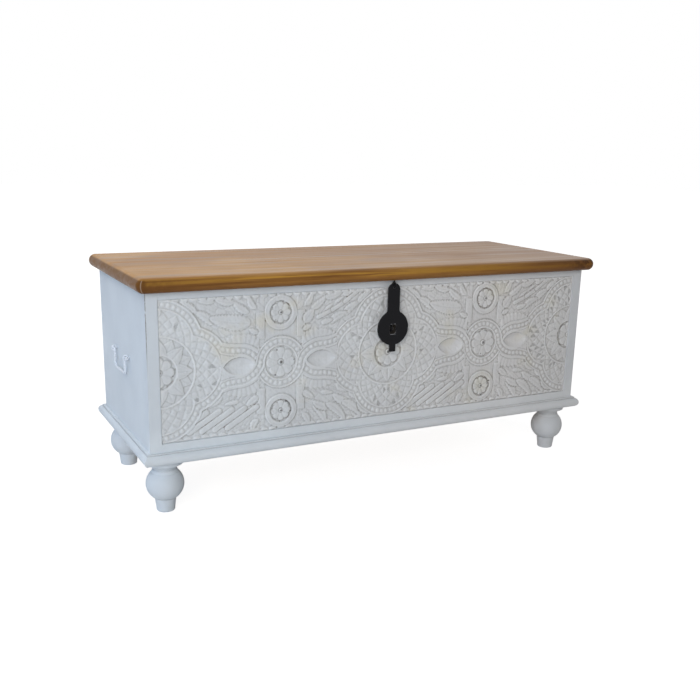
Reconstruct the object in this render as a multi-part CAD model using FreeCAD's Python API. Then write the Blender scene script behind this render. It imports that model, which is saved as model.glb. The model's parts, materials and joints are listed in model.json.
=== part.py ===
import FreeCAD, Part
import math
import os

# A carved blanket trunk: painted carcass with a framed carved front, moulded base on turned feet,
# wooden lid with a half-round edge on two butt hinges, iron hasp and staple, and a drop handle at
# each end. Sizes are in millimetres. X runs along the length, the carved front faces -Y, Z is up,
# and the origin lies on the floor under the middle of the trunk.

V = FreeCAD.Vector
origin = V(0, 0, 0)
along_x = V(1, 0, 0)
along_y = V(0, 1, 0)
along_z = V(0, 0, 1)

# Carcass
body_length = 1110.0
body_depth = 396.0
body_height = 331.5
wall_thickness = 20.0
stile_width = 25.0
top_rail_height = 15.0
bottom_rail_height = 17.0
panel_recess = 1.0
groove_width = 8.0
groove_depth = 6.0
joint_clearance = 0.5
tenon_length = 15.0
tenon_shoulder = 3.0
side_tongue_length = 5.0
bottom_thickness = 12.0
cleat_width = 25.0
corner_block_size = 80.0

# Carving of the front panel
carving_border = 2.0
carving_fillet = 4.2
spandrel_depth = 4.4
band_depth = 2.2
net_depth = 1.8
leaf_ring_depth = 2.8
well_depth = 4.2
eye_depth = 5.0
mandala_leaf_count = 8

# Base moulding and feet
base_thickness = 25.0
base_projection = 16.0
foot_height = 118.0
foot_radius = 40.4
foot_seat_inset = 19.5
spigot_radius = 11.0
spigot_height = 20.0

# Lid
lid_gap = 0.5
lid_thickness = 30.0
lid_side_overhang = 20.0
lid_front_overhang = 27.0
lid_frame_width = 50.0
lid_ledge_width = 10.0
lid_ledge_thickness = 8.0
lid_board_count = 3
board_tongue = 6.0
batten_width = 40.0
batten_thickness = 16.0
batten_end_gap = 13.0
batten_inset = 255.0

# Butt hinges
hinge_length = 75.0
hinge_inset = 225.0
hinge_leaf_width = 18.0
hinge_leaf_thickness = 2.0
hinge_knuckle_count = 5
hinge_knuckle_gap = 0.3
hinge_barrel_radius = 4.0
hinge_barrel_offset = 4.5
hinge_recess_clearance = 0.5
hinge_pin_radius = 2.0
hinge_pin_clearance = 0.05

# Screws
screw_head_radius = 3.2
screw_head_depth = 1.6
screw_shank_radius = 1.5
hinge_screw_length = 16.0
batten_screw_bite = 13.0

# Hasp, its eye and its staple
hasp_thickness = 3.0
hasp_strap_width = 30.5
hasp_end_clearance = 0.65
hasp_disc_radius = 39.2
hasp_disc_drop = 106.6
hasp_tab_width = 15.4
hasp_tab_length = 15.5
hasp_flare_radius = 6.0
hasp_tab_radius = 2.0
hasp_slot_width = 17.0
hasp_slot_height = 23.0
hasp_slot_drop = 3.0
hasp_slot_radius = 3.0
hasp_hole_radius = 2.6
hasp_eye_radius = 6.0
hasp_eye_wire_radius = 1.75
hasp_eye_drop = 9.0
hasp_eye_shank = 18.0
hasp_staple_gap = 1.0
staple_reach = 12.5
staple_half_height = 6.0
staple_wire_radius = 2.0
staple_bite = 15.0

# Drop handles
handle_drop = 160.0
handle_spacing = 106.0
bail_wire_radius = 2.75
bail_drop = 38.0
bail_corner_radius = 9.0
bail_shoulder_gap = 4.0
bail_end_length = 9.0
eye_wire_radius = 1.75
eye_clearance = 0.3
eye_stand_off = 0.7
eye_shank = 15.0

# One run past a face serves every cut, and one tolerance every comparison
overrun = 1.0
tolerance = 0.01

# Outlines as shares of the sizes that they follow
foot_outline_shares = (
    ((0.421, 0.0),),
    ((0.463, 0.010), (0.485, 0.042)),
    ((0.559, 0.246),),
    ((0.535, 0.251),),
    ((0.594, 0.256),),
    ((1.0, 0.513), (0.750, 0.735)),
    ((0.718, 0.740),),
    ((0.678, 0.773), (0.624, 0.800)),
    ((0.609, 0.806),),
    ((0.690, 0.853), (0.940, 0.901)),
    ((0.965, 0.906),),
    ((0.965, 1.0),),
)
base_nose_share = 0.55
base_nose_crown_share = 0.44
base_nose_top_share = 0.88
base_fillet_share = 0.45
screw_place_shares = (-0.36, 0.0, 0.36)

# Carving as shares of the field's half height, or of half its length if that is the tighter one
carving_aspect_share = 0.2826
lobe_offset_share = 0.385
lobe_radius_share = 0.474
lobe_band_share = 0.150
mandala_ring_share = 0.501
mandala_leaf_place_share = 0.374
mandala_leaf_length_share = 0.214
mandala_leaf_width_share = 0.147
mandala_well_share = 0.250
mandala_flower_share = 0.197
strand_circle_share = 0.311
strand_half_share = 0.072
strand_rise_share = 0.220
flower_share = 0.207
eye_half_length_share = 0.234
eye_half_height_share = 0.127
eye_dish_share = 1.06
eye_place_share = 0.358
rosette_place_share = 0.721
rosette_flower_share = 0.154
rosette_dish_share = 0.227
rosette_rim_share = 0.250
bar_shares = (0.260, 0.361, 0.320, 0.768)
fan_place_shares = (0.594, -0.093)
fan_radius_shares = (0.414, 0.534)
fan_half_width_share = 0.260
spandrel_reach_share = 1.640
upper_leaf_shares = (
    (0.441, 0.648, 52.0, 0.227, 0.160),
    (0.614, 0.821, 38.0, 0.280, 0.107),
    (0.855, 0.908, 14.0, 0.267, 0.107),
    (0.908, 0.628, 30.0, 0.307, 0.120),
    (1.109, 0.748, 34.0, 0.307, 0.120),
)
upper_stem_shares = ((0.594, 0.546), (1.234, 0.934), (1.196, 0.990), (0.554, 0.602))
lower_leaf_shares = (
    (1.002, 0.508, 30.0, 0.267, 0.114),
    (1.189, 0.654, 38.0, 0.280, 0.114),
)
lower_feather_shares = ((0.654, 0.980), (1.452, 0.980), (0.895, 0.561), (0.441, 0.561), (0.401, 0.795))

# Levels
base_top = foot_height + base_thickness
body_top = base_top + body_height
lid_bottom = body_top + lid_gap
lid_top = lid_bottom + lid_thickness
lid_mid = lid_bottom + lid_thickness / 2
board_bottom = lid_bottom + lid_ledge_thickness

# Plan of the carcass
half_length = body_length / 2
half_depth = body_depth / 2
inner_half_length = half_length - wall_thickness
inner_half_depth = half_depth - wall_thickness
front_face = -half_depth
front_back = -inner_half_depth
field_half_length = half_length - stile_width
field_bottom = base_top + bottom_rail_height
field_top = body_top - top_rail_height
groove_front = front_face + (wall_thickness - groove_width) / 2
groove_back = groove_front + groove_width
panel_tongue = groove_depth - joint_clearance
panel_face = front_face + panel_recess
field_half_height = (field_top - field_bottom) / 2
field_middle = field_bottom + field_half_height
side_tongue_inner = half_length - (wall_thickness + groove_width) / 2
side_tongue_outer = side_tongue_inner + groove_width
side_groove_depth = side_tongue_length + joint_clearance

# Plan of the carving
carving_unit = min(field_half_height, field_half_length * carving_aspect_share)
column_x = field_half_length / 2
lobe_offset = carving_unit * lobe_offset_share
lobe_radius = carving_unit * lobe_radius_share
lobe_band = carving_unit * lobe_band_share
strand_circle = carving_unit * strand_circle_share
strand_half = carving_unit * strand_half_share
strand_rise = carving_unit * strand_rise_share
channel_half = strand_half - carving_fillet
eye_place = column_x * eye_place_share
eye_chord = eye_place - strand_circle
eye_sweep = (eye_chord ** 2 / strand_rise + strand_rise) / 2
eye_drop = eye_sweep - strand_rise
channel_low = strand_rise - channel_half
channel_high = strand_rise + channel_half
tail_end = column_x - lobe_offset - math.sqrt((lobe_radius + lobe_band / 2) ** 2 - strand_rise ** 2)

# Plan of the lid
lid_half_length = half_length + lid_side_overhang
lid_half_depth = half_depth + lid_front_overhang
lid_nose_radius = lid_thickness / 2
lid_inner_half_length = lid_half_length - lid_frame_width
lid_inner_half_depth = lid_half_depth - lid_frame_width
board_half_length = lid_inner_half_length + lid_ledge_width
board_half_depth = lid_inner_half_depth + lid_ledge_width
board_width = 2 * board_half_depth / lid_board_count
batten_half_length = inner_half_depth - batten_end_gap
batten_x = half_length - batten_inset

# Hinge line
hinge_x = half_length - hinge_inset
hinge_y = half_depth + hinge_barrel_offset
hinge_z = body_top + lid_gap / 2
leaf_inner_y = half_depth - hinge_leaf_width
leaf_screw_y = half_depth - hinge_leaf_width / 2

# Hasp places
staple_tip = front_face - staple_reach
hasp_y = staple_tip - hasp_staple_gap - hasp_thickness / 2
hasp_eye_z = lid_bottom - hasp_eye_drop
hasp_hole_z = hasp_eye_z - hasp_eye_radius
hasp_top = hasp_eye_z + hasp_eye_radius - hasp_eye_wire_radius - hasp_end_clearance
hasp_disc_z = lid_bottom - hasp_disc_drop
hasp_bottom = hasp_disc_z - hasp_disc_radius - hasp_tab_length
hasp_slot_z = hasp_disc_z - hasp_slot_drop

# Handle places
eye_inner_radius = bail_wire_radius + eye_clearance
eye_radius = eye_inner_radius + eye_wire_radius
handle_x = half_length + eye_radius + eye_wire_radius + eye_stand_off
handle_z = body_top - handle_drop
eye_y = handle_spacing / 2
bail_arm_y = eye_y - eye_wire_radius - bail_shoulder_gap - bail_wire_radius


def box(x0, x1, y0, y1, z0, z1):
    """A block between two opposite corners."""
    return Part.makeBox(x1 - x0, y1 - y0, z1 - z0, V(x0, y0, z0))


def mirrored_x(shape):
    """The same piece at the other end of the trunk."""
    return shape.mirror(origin, along_x)


def mirrored_y(shape):
    """The same piece on the other long side of the trunk."""
    return shape.mirror(origin, along_y)


def cylinder(radius, length, start, direction):
    """A round bar from a point along a direction."""
    return Part.makeCylinder(radius, length, start, direction)


def fused(first, *others):
    """One clean solid from overlapping or touching solids."""
    return first.fuse(list(others)).removeSplitter()


def outline_face(first, stretches):
    """A face from a start point and stretches, each a straight end or an arc's mid point and end."""
    edges = []
    last = first
    for stretch in stretches:
        if len(stretch) == 2:
            edges.append(Part.Arc(last, stretch[0], stretch[1]).toShape())
        else:
            edges.append(Part.LineSegment(last, stretch[0]).toShape())
        last = stretch[-1]
    edges.append(Part.LineSegment(last, first).toShape())
    return Part.Face(Part.Wire(edges))


def mitre_wedge(outer_x, outer_y, width, z0, z1):
    """The block that keeps the front piece of a mitred frame, up to both mitre planes."""
    corners = [
        V(-outer_x, -outer_y, z0),
        V(outer_x, -outer_y, z0),
        V(outer_x - width, -outer_y + width, z0),
        V(-outer_x + width, -outer_y + width, z0),
    ]
    return Part.Face(Part.makePolygon(corners + corners[:1])).extrude(V(0, 0, z1 - z0))


# Framed front


def rail_tenon(z0, z1):
    """The tenon at a rail's right end."""
    return box(field_half_length, field_half_length + tenon_length, groove_front, groove_back, z0, z1)


def top_tenon():
    """Tenon of the top rail, clear of its panel groove and of the stile's end."""
    return rail_tenon(field_top + groove_depth, body_top - tenon_shoulder)


def bottom_tenon():
    """Tenon of the bottom rail, clear of its panel groove and of the stile's end."""
    return rail_tenon(base_top + tenon_shoulder, field_bottom - groove_depth)


def front_stile():
    """Right-hand stile: mortises for both rails, a groove for the panel and one for the side."""
    stile = box(field_half_length, half_length, front_face, front_back, base_top, body_top)
    panel_groove = box(field_half_length - overrun, field_half_length + groove_depth,
                       groove_front, groove_back, field_bottom - groove_depth, field_top + groove_depth)
    side_groove = box(side_tongue_inner, side_tongue_outer,
                      front_back - side_groove_depth, front_back + overrun,
                      base_top - overrun, body_top + overrun)
    return stile.cut([panel_groove, side_groove, top_tenon(), bottom_tenon()])


def front_rail(z0, z1, groove_z0, groove_z1, tenon):
    """A rail between the stiles, with its panel groove and a tenon at each end."""
    rail = box(-field_half_length, field_half_length, front_face, front_back, z0, z1)
    groove = box(-field_half_length - overrun, field_half_length + overrun,
                 groove_front, groove_back, groove_z0, groove_z1)
    return fused(rail.cut(groove), tenon, mirrored_x(tenon))


def front_top_rail():
    """The rail under the lid's front edge."""
    return front_rail(field_top, body_top, field_top - overrun, field_top + groove_depth, top_tenon())


def front_bottom_rail():
    """The rail on the base moulding."""
    return front_rail(base_top, field_bottom, field_bottom - groove_depth, field_bottom + overrun,
                      bottom_tenon())


def carved_front_panel():
    """The carved panel, with a tongue all round that sits loose in the frame's grooves."""
    board = box(-field_half_length, field_half_length, panel_face, front_back, field_bottom, field_top)
    tongue = box(-field_half_length - panel_tongue, field_half_length + panel_tongue,
                 groove_front, groove_back, field_bottom - panel_tongue, field_top + panel_tongue)
    column = column_cuts()
    side = mandala_cuts(field_half_length)
    cuts = mandala_cuts(0) + column + side
    cuts += [mirrored_x(cut) for cut in column + side]
    return fused(board, tongue).cut(cuts).cut(lock_staple())


# Carving


def carve_disc(radius, x, up, depth):
    """A round stamp into the panel's face, placed from the middle of the field."""
    return cylinder(radius, depth + overrun, V(x, panel_face - overrun, field_middle + up), along_y)


def carve_ring(outer, inner, x, up, depth):
    """A ring-shaped stamp into the panel's face."""
    return carve_disc(outer, x, up, depth).cut(carve_disc(inner, x, up, depth + overrun))


def carve_block(x0, x1, up0, up1, depth):
    """A square stamp into the panel's face."""
    return box(x0, x1, panel_face - overrun, panel_face + depth, field_middle + up0, field_middle + up1)


def carve_outline(corners, depth):
    """A stamp with straight sides, its corners in shares of the carving from the flower's middle."""
    points = [V(column_x + carving_unit * along, panel_face - overrun, field_middle + carving_unit * up)
              for along, up in corners]
    return Part.Face(Part.makePolygon(points + points[:1])).extrude(along_y * (depth + overrun))


def carve_leaf(x, up, tilt, length, width, depth):
    """A pointed leaf between two arcs, tilted from the level."""
    angle = math.radians(tilt)
    run = V(math.cos(angle), 0, math.sin(angle)) * (length / 2)
    side = V(-math.sin(angle), 0, math.cos(angle)) * (width / 2)
    middle = V(x, panel_face - overrun, field_middle + up)
    upper = Part.Arc(middle - run, middle + side, middle + run).toShape()
    lower = Part.Arc(middle + run, middle - side, middle - run).toShape()
    return Part.Face(Part.Wire([upper, lower])).extrude(along_y * (depth + overrun))


def lobes(radius, x, depth):
    """Four overlapping round stamps about a mandala's middle."""
    places = ((lobe_offset, 0), (0, lobe_offset), (-lobe_offset, 0), (0, -lobe_offset))
    return fused(*[carve_disc(radius, x + along, up, depth) for along, up in places])


def mandala_cuts(x):
    """A four-lobed mandala: bead channel, net ground, ring of leaves and the well round its flower."""
    reach = lobe_offset + lobe_radius + lobe_band
    eye_ends = carve_block(x - reach, x + reach, -channel_low, channel_low, well_depth)
    channel = lobes(lobe_radius + lobe_band - carving_fillet, x, band_depth)
    channel = channel.cut([lobes(lobe_radius + carving_fillet, x, well_depth), eye_ends])
    ring = carving_unit * mandala_ring_share
    net = lobes(lobe_radius - carving_border, x, net_depth)
    net = net.cut(carve_disc(ring + carving_border, x, 0, well_depth))
    well = carving_unit * mandala_well_share
    leaf_ring = carve_ring(ring - carving_border, well + carving_border, x, 0, leaf_ring_depth)
    leaf_place = carving_unit * mandala_leaf_place_share
    leaves = []
    for index in range(mandala_leaf_count):
        angle = 2 * math.pi * index / mandala_leaf_count
        leaves.append(carve_leaf(x + leaf_place * math.cos(angle), leaf_place * math.sin(angle),
                                 math.degrees(angle), carving_unit * mandala_leaf_length_share,
                                 carving_unit * mandala_leaf_width_share, well_depth))
    flower = carving_unit * mandala_flower_share
    return [channel, net, leaf_ring.cut(leaves), carve_ring(well - carving_border, flower, x, 0, well_depth)]


def column_cuts():
    """The right-hand flower with its strands, eyes, rosettes and the leaves round them."""
    inner = strand_circle - strand_half
    rings = [carve_ring(strand_circle + channel_half, strand_circle - channel_half, column_x, 0, band_depth),
             carve_ring(inner, carving_unit * flower_share, column_x, 0, well_depth)]
    upper = [strand_channel(), spandrel(upper_keeps())]
    lower = [below(strand_channel()), below(spandrel(lower_keeps()))]
    return rings + [rosette_dish(), below(rosette_dish())] + both_sides(upper + lower + [eye_dish()])


def below(shape):
    """The same stamp below the middle of the field."""
    return shape.mirror(V(0, 0, field_middle), along_z)


def both_sides(shapes):
    """Stamps on both sides of the right-hand flower's middle."""
    return shapes + [shape.mirror(V(column_x, 0, 0), along_x) for shape in shapes]


def strand_channel():
    """The bead channel from the flower over the right-hand eye to the mandala."""
    middle_x = column_x + eye_place
    ring = carve_ring(eye_sweep + channel_half, eye_sweep - channel_half, middle_x, -eye_drop, band_depth)
    arc = ring.common(carve_block(column_x + strand_circle - channel_half, middle_x, 0, field_half_height,
                                  band_depth))
    tail = carve_block(middle_x, column_x + tail_end, channel_low, channel_high, band_depth)
    return fused(arc, tail)


def eye_dish():
    """The smooth pointed dish to the right of the flower."""
    x = column_x + eye_place
    half = carving_unit * eye_half_length_share
    lens = carve_leaf(x, 0, 0, 2 * half, 2 * carving_unit * eye_half_height_share, eye_depth)
    radius = ((half * eye_dish_share) ** 2 + eye_depth ** 2) / (2 * eye_depth)
    return lens.common(Part.makeSphere(radius, V(x, panel_face + eye_depth - radius, field_middle)))


def rosette_dish():
    """The dish round the small flower above the middle one."""
    return carve_ring(carving_unit * rosette_dish_share, carving_unit * rosette_flower_share, column_x,
                      carving_unit * rosette_place_share, band_depth)


def upper_keeps():
    """The stem and leaves that stand in an upper spandrel."""
    return spandrel_leaves(upper_leaf_shares) + [carve_outline(upper_stem_shares, well_depth + overrun)]


def lower_keeps():
    """The feathers and leaves that stand in a lower spandrel."""
    return spandrel_leaves(lower_leaf_shares) + [carve_outline(lower_feather_shares, well_depth + overrun)]


def spandrel_leaves(leaf_shares):
    """Leaves placed by shares from the right-hand flower's middle."""
    return [carve_leaf(column_x + carving_unit * along, carving_unit * up, tilt, carving_unit * length,
                       carving_unit * width, well_depth + overrun)
            for along, up, tilt, length, width in leaf_shares]


def spandrel(keeps):
    """The ground right of a flower and above its strands, round all that stands up from it."""
    deep = spandrel_depth + overrun
    pocket = carve_block(column_x - overrun, column_x + carving_unit * spandrel_reach_share, 0,
                         field_half_height - carving_border, spandrel_depth)
    bar_inner, bar_outer, bar_low, bar_high = [carving_unit * share for share in bar_shares]
    bar = carve_block(column_x + bar_inner, column_x + bar_outer, bar_low, bar_high, deep)
    rosette = carve_disc(carving_unit * rosette_rim_share, column_x, carving_unit * rosette_place_share, deep)
    reach = lobe_radius + lobe_band
    eye_x = column_x + eye_place
    body = eye_sweep + strand_half + carving_fillet
    eye = carve_disc(body, eye_x, -eye_drop, deep).common(carve_disc(body, eye_x, eye_drop, deep))
    tail_top = strand_rise + strand_half + carving_fillet
    tail = carve_block(eye_x, column_x + tail_end, -tail_top, tail_top, deep)
    fan_x = column_x + carving_unit * fan_place_shares[0]
    fan = carve_ring(carving_unit * fan_radius_shares[1], carving_unit * fan_radius_shares[0], fan_x,
                     carving_unit * fan_place_shares[1], deep)
    fan_half = carving_unit * fan_half_width_share
    fan = fan.common(carve_block(fan_x - fan_half, fan_x + fan_half, 0, field_half_height, deep))
    stands = [carve_disc(reach, 2 * column_x - lobe_offset, 0, deep), eye, tail, fan, bar, rosette,
              carve_disc(reach, 2 * column_x, lobe_offset, deep),
              carve_disc(strand_circle + strand_half, column_x, 0, deep)]
    return pocket.cut(stands + keeps)


# Sides, back and bottom


def right_side_panel():
    """The right side, tongued into the front stile and the back, bored for its handle eyes."""
    board = box(inner_half_length, half_length, -inner_half_depth, inner_half_depth, base_top, body_top)
    tongue = box(side_tongue_inner, side_tongue_outer, -inner_half_depth - side_tongue_length,
                 inner_half_depth + side_tongue_length, base_top, body_top)
    return fused(board, tongue).cut(right_handle_eyes())


def back_panel():
    """The back, grooved for both sides, with its top edge cut for the hinge leaves."""
    board = box(-half_length, half_length, inner_half_depth, half_depth, base_top, body_top)
    groove = box(side_tongue_inner, side_tongue_outer, inner_half_depth - overrun,
                 inner_half_depth + side_groove_depth, base_top - overrun, body_top + overrun)
    leaf_seat = box(hinge_x - hinge_length / 2, hinge_x + hinge_length / 2, leaf_inner_y,
                    half_depth + overrun, body_top - hinge_leaf_thickness, body_top + overrun)
    cuts = [groove, mirrored_x(groove), leaf_seat, mirrored_x(leaf_seat)]
    return board.cut(cuts + hinge_body_screws())


def bottom_board():
    """The loose bottom, laid inside the walls on its cleats and corner blocks."""
    x = inner_half_length - joint_clearance
    y = inner_half_depth - joint_clearance
    return box(-x, x, -y, y, base_top, base_top + bottom_thickness)


def front_bottom_cleat():
    """The strip inside the front moulding, between two corner blocks."""
    x = inner_half_length - corner_block_size
    return box(-x, x, -inner_half_depth, -inner_half_depth + cleat_width, foot_height, base_top)


def corner_block(foot):
    """The right-hand front block in the base's corner, bored for its foot's spigot."""
    block = box(inner_half_length - corner_block_size, inner_half_length,
                -inner_half_depth, -inner_half_depth + corner_block_size, foot_height, base_top)
    return block.cut(foot)


# Base moulding and feet


def base_section(outer_face):
    """The moulding's section: a ledge, a small fillet and a round nose, seen along the front."""
    def point(out, height):
        return V(0, -outer_face - out, foot_height + height)

    nose = base_projection * base_nose_share
    nose_top = base_thickness * base_nose_top_share
    fillet = base_projection * base_fillet_share
    return outline_face(point(-wall_thickness, 0), (
        (point(nose, 0),),
        (point(base_projection, base_thickness * base_nose_crown_share), point(nose, nose_top)),
        (point(fillet, nose_top),),
        (point(fillet, base_thickness),),
        (point(-wall_thickness, base_thickness),),
    ))


def base_moulding(run_half, outer_face):
    """The front piece of a mitred base of this half length and this distance to the body's face."""
    outer_x = run_half + base_projection
    outer_y = outer_face + base_projection
    section = base_section(outer_face)
    section.translate(V(-outer_x, 0, 0))
    run = section.extrude(V(2 * outer_x, 0, 0))
    wedge = mitre_wedge(outer_x, outer_y, base_projection + wall_thickness, foot_height, base_top)
    return run.common(wedge)


def quarter_turned(shape):
    """A front piece turned to the right-hand end."""
    turned = shape.copy()
    turned.rotate(origin, along_z, 90)
    return turned


def turned_foot():
    """The right-hand front foot: peg, ball, collar and flared top, with a spigot above."""
    def point(shares):
        return V(foot_radius * shares[0], 0, foot_height * shares[1])

    stretches = [tuple(point(shares) for shares in stretch) for stretch in foot_outline_shares]
    stretches.append((V(0, 0, foot_height),))
    turning = outline_face(origin, stretches).revolve(origin, along_z, 360)
    spigot = cylinder(spigot_radius, spigot_height, V(0, 0, foot_height), along_z)
    foot = fused(Part.makeSolid(turning), spigot)
    foot_offset = wall_thickness + foot_seat_inset
    foot.translate(V(half_length - foot_offset, -half_depth + foot_offset, 0))
    return foot


# Lid


def lid_edge(half_x, half_y):
    """The front piece of the lid's mitred frame, with a half-round nose and a ledge for the boards."""
    nose_x = half_x - lid_nose_radius
    nose_y = half_y - lid_nose_radius
    inner_y = half_y - lid_frame_width
    nose = cylinder(lid_nose_radius, 2 * nose_x, V(-nose_x, -nose_y, lid_mid), along_x)
    ball = Part.makeSphere(lid_nose_radius, V(nose_x, -nose_y, lid_mid))
    slab = box(-nose_x, nose_x, -nose_y, -inner_y, lid_bottom, lid_top)
    solid = fused(slab, nose, ball, mirrored_x(ball))
    wedge = mitre_wedge(half_x, half_y, lid_frame_width, lid_bottom, lid_top)
    rebate = box(-half_x, half_x, -inner_y - lid_ledge_width, -inner_y + overrun,
                 board_bottom, lid_top + overrun)
    return solid.common(wedge).cut(rebate)


def lid_front_edge():
    """The lid's front edge, bored for the hasp's eye."""
    return lid_edge(lid_half_length, lid_half_depth).cut(hasp_eye())


def lid_back_edge():
    """The lid's back edge, cut for the hinge leaves and hollowed round the hinge barrels."""
    edge = mirrored_y(lid_edge(lid_half_length, lid_half_depth))
    seat = box(hinge_x - hinge_length / 2, hinge_x + hinge_length / 2, leaf_inner_y, hinge_y,
               lid_bottom - overrun, lid_bottom + hinge_leaf_thickness)
    hollow_half = hinge_length / 2 + hinge_recess_clearance
    hollow = cylinder(hinge_barrel_radius + hinge_recess_clearance, 2 * hollow_half,
                      V(hinge_x - hollow_half, hinge_y, hinge_z), along_x)
    cuts = [seat, mirrored_x(seat), hollow, mirrored_x(hollow)]
    return edge.cut(cuts + hinge_lid_screws())


def lid_board(index):
    """A lid board, counted from the front, tongued into the board behind it."""
    y0 = -board_half_depth + index * board_width
    y1 = y0 + board_width
    board = box(-board_half_length, board_half_length, y0, y1, board_bottom, lid_top)
    thickness = lid_top - board_bottom
    z0 = board_bottom + (thickness - board_tongue) / 2
    z1 = z0 + board_tongue
    if index > 0:
        groove = box(-board_half_length - overrun, board_half_length + overrun,
                     y0 - overrun, y0 + board_tongue + joint_clearance, z0, z1)
        board = board.cut(groove)
    if index < lid_board_count - 1:
        board = fused(board, box(-board_half_length, board_half_length, y1, y1 + board_tongue, z0, z1))
    return board.cut(lid_batten_screws())


def lid_batten():
    """The right-hand batten across the boards, inside the rim of the closed trunk."""
    batten = box(batten_x - batten_width / 2, batten_x + batten_width / 2, -batten_half_length,
                 batten_half_length, board_bottom - batten_thickness, board_bottom)
    return batten.cut(lid_batten_screws())


# Screws and hinges


def countersunk_screw(length, head, direction):
    """A screw whose flat head lies at a point and whose shank runs along a direction."""
    cone = Part.makeCone(screw_head_radius, screw_shank_radius, screw_head_depth, head, direction)
    shank = cylinder(screw_shank_radius, length, head, direction)
    return fused(cone, shank)


def hinge_screw_row(side, z, direction):
    """The screws of one leaf."""
    return [countersunk_screw(hinge_screw_length, V(side * hinge_x + share * hinge_length, leaf_screw_y, z),
                              direction) for share in screw_place_shares]


def hinge_body_screws():
    """Screws down through both body leaves."""
    return hinge_screw_row(-1, body_top, -along_z) + hinge_screw_row(1, body_top, -along_z)


def hinge_lid_screws():
    """Screws up through both lid leaves."""
    return hinge_screw_row(-1, lid_bottom, along_z) + hinge_screw_row(1, lid_bottom, along_z)


def lid_batten_screws():
    """One screw through each batten into the middle of each board."""
    screws = []
    for side in (-1, 1):
        for index in range(lid_board_count):
            middle = (index + 0.5) * board_width - board_half_depth
            head = V(side * batten_x, middle, board_bottom - batten_thickness)
            screws.append(countersunk_screw(batten_thickness + batten_screw_bite, head, along_z))
    return screws


def hinge_leaf(z0, knuckles, screws):
    """A right-hand hinge leaf with its own knuckles on the pin's line."""
    x0 = hinge_x - hinge_length / 2
    pitch = hinge_length / hinge_knuckle_count
    plate_back = hinge_y - hinge_barrel_radius - hinge_recess_clearance
    parts = [box(x0, x0 + hinge_length, leaf_inner_y, plate_back, z0, z0 + hinge_leaf_thickness)]
    for knuckle in knuckles:
        start = x0 + knuckle * pitch + hinge_knuckle_gap / 2
        length = pitch - hinge_knuckle_gap
        parts.append(cylinder(hinge_barrel_radius, length, V(start, hinge_y, hinge_z), along_x))
        parts.append(box(start, start + length, leaf_inner_y, hinge_y, z0, z0 + hinge_leaf_thickness))
    bore = cylinder(hinge_pin_radius + hinge_pin_clearance, hinge_length + 2 * overrun,
                    V(x0 - overrun, hinge_y, hinge_z), along_x)
    return fused(*parts).cut([bore] + screws)


def hinge_body_leaf():
    """The leaf on the back, with the odd knuckles."""
    return hinge_leaf(body_top - hinge_leaf_thickness, range(0, hinge_knuckle_count, 2),
                      hinge_body_screws())


def hinge_lid_leaf():
    """The leaf on the lid, with the even knuckles."""
    return hinge_leaf(lid_bottom, range(1, hinge_knuckle_count, 2), hinge_lid_screws())


def hinge_pin():
    """The pin through all knuckles of the right-hand hinge."""
    return cylinder(hinge_pin_radius, hinge_length, V(hinge_x - hinge_length / 2, hinge_y, hinge_z), along_x)


# Hasp, eye and staple


def flat_round(radius, z):
    """A disc of the hasp's thickness, in the hasp's plane."""
    return cylinder(radius, hasp_thickness, V(0, hasp_y - hasp_thickness / 2, z), along_y)


def flat_bar(width, z0, z1):
    """A bar of the hasp's thickness, in the hasp's plane."""
    return box(-width / 2, width / 2, hasp_y - hasp_thickness / 2, hasp_y + hasp_thickness / 2, z0, z1)


def through_edges(shape, wanted):
    """The straight edges through the hasp's thickness whose place passes a test."""
    found = []
    for edge in shape.Edges:
        ends = [vertex.Point for vertex in edge.Vertexes]
        if len(ends) == 2 and (ends[1] - ends[0]).cross(along_y).Length < tolerance:
            if wanted(ends[0]):
                found.append(edge)
    return found


def hasp_plate():
    """The hasp: round-ended strap, disc with its slot, and a thumb tab."""
    strap_round = hasp_top - hasp_strap_width / 2
    blank = fused(flat_round(hasp_disc_radius, hasp_disc_z),
                  flat_bar(hasp_strap_width, hasp_disc_z, strap_round),
                  flat_round(hasp_strap_width / 2, strap_round),
                  flat_bar(hasp_tab_width, hasp_bottom, hasp_disc_z))
    flare = through_edges(blank, lambda p: hasp_disc_z < p.z < strap_round - hasp_flare_radius)
    blank = blank.makeFillet(hasp_flare_radius, flare)
    toe = through_edges(blank, lambda p: p.z < hasp_bottom + hasp_tab_radius)
    blank = blank.makeFillet(hasp_tab_radius, toe)
    slot = flat_bar(hasp_slot_width, hasp_slot_z - hasp_slot_height / 2, hasp_slot_z + hasp_slot_height / 2)
    slot = slot.makeFillet(hasp_slot_radius, through_edges(slot, lambda p: True))
    return blank.cut([slot, flat_round(hasp_hole_radius, hasp_hole_z)])


def hasp_eye():
    """The ring under the lid's front edge that the hasp hangs on, with its shank."""
    centre = V(0, hasp_y, hasp_eye_z)
    ring = Part.makeTorus(hasp_eye_radius, hasp_eye_wire_radius, centre, along_x)
    shank = cylinder(hasp_eye_wire_radius, hasp_eye_drop + hasp_eye_shank - hasp_eye_radius,
                     V(0, hasp_y, hasp_eye_z + hasp_eye_radius), along_z)
    return fused(ring, shank)


def lock_staple():
    """The staple on the front, one leg above the other, driven into the panel."""
    bend_y = staple_tip + staple_wire_radius + staple_half_height
    centre = V(0, bend_y, hasp_slot_z)
    leg_length = panel_face + staple_bite - bend_y
    crown = Part.Arc(centre + along_z * staple_half_height, centre - along_y * staple_half_height,
                     centre - along_z * staple_half_height).toShape()
    top = centre + along_z * staple_half_height
    bottom = centre - along_z * staple_half_height
    reach = along_y * leg_length
    path = Part.Wire([Part.LineSegment(top + reach, top).toShape(), crown,
                      Part.LineSegment(bottom, bottom + reach).toShape()])
    return round_wire(path, staple_wire_radius, top + reach, along_y)


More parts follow.
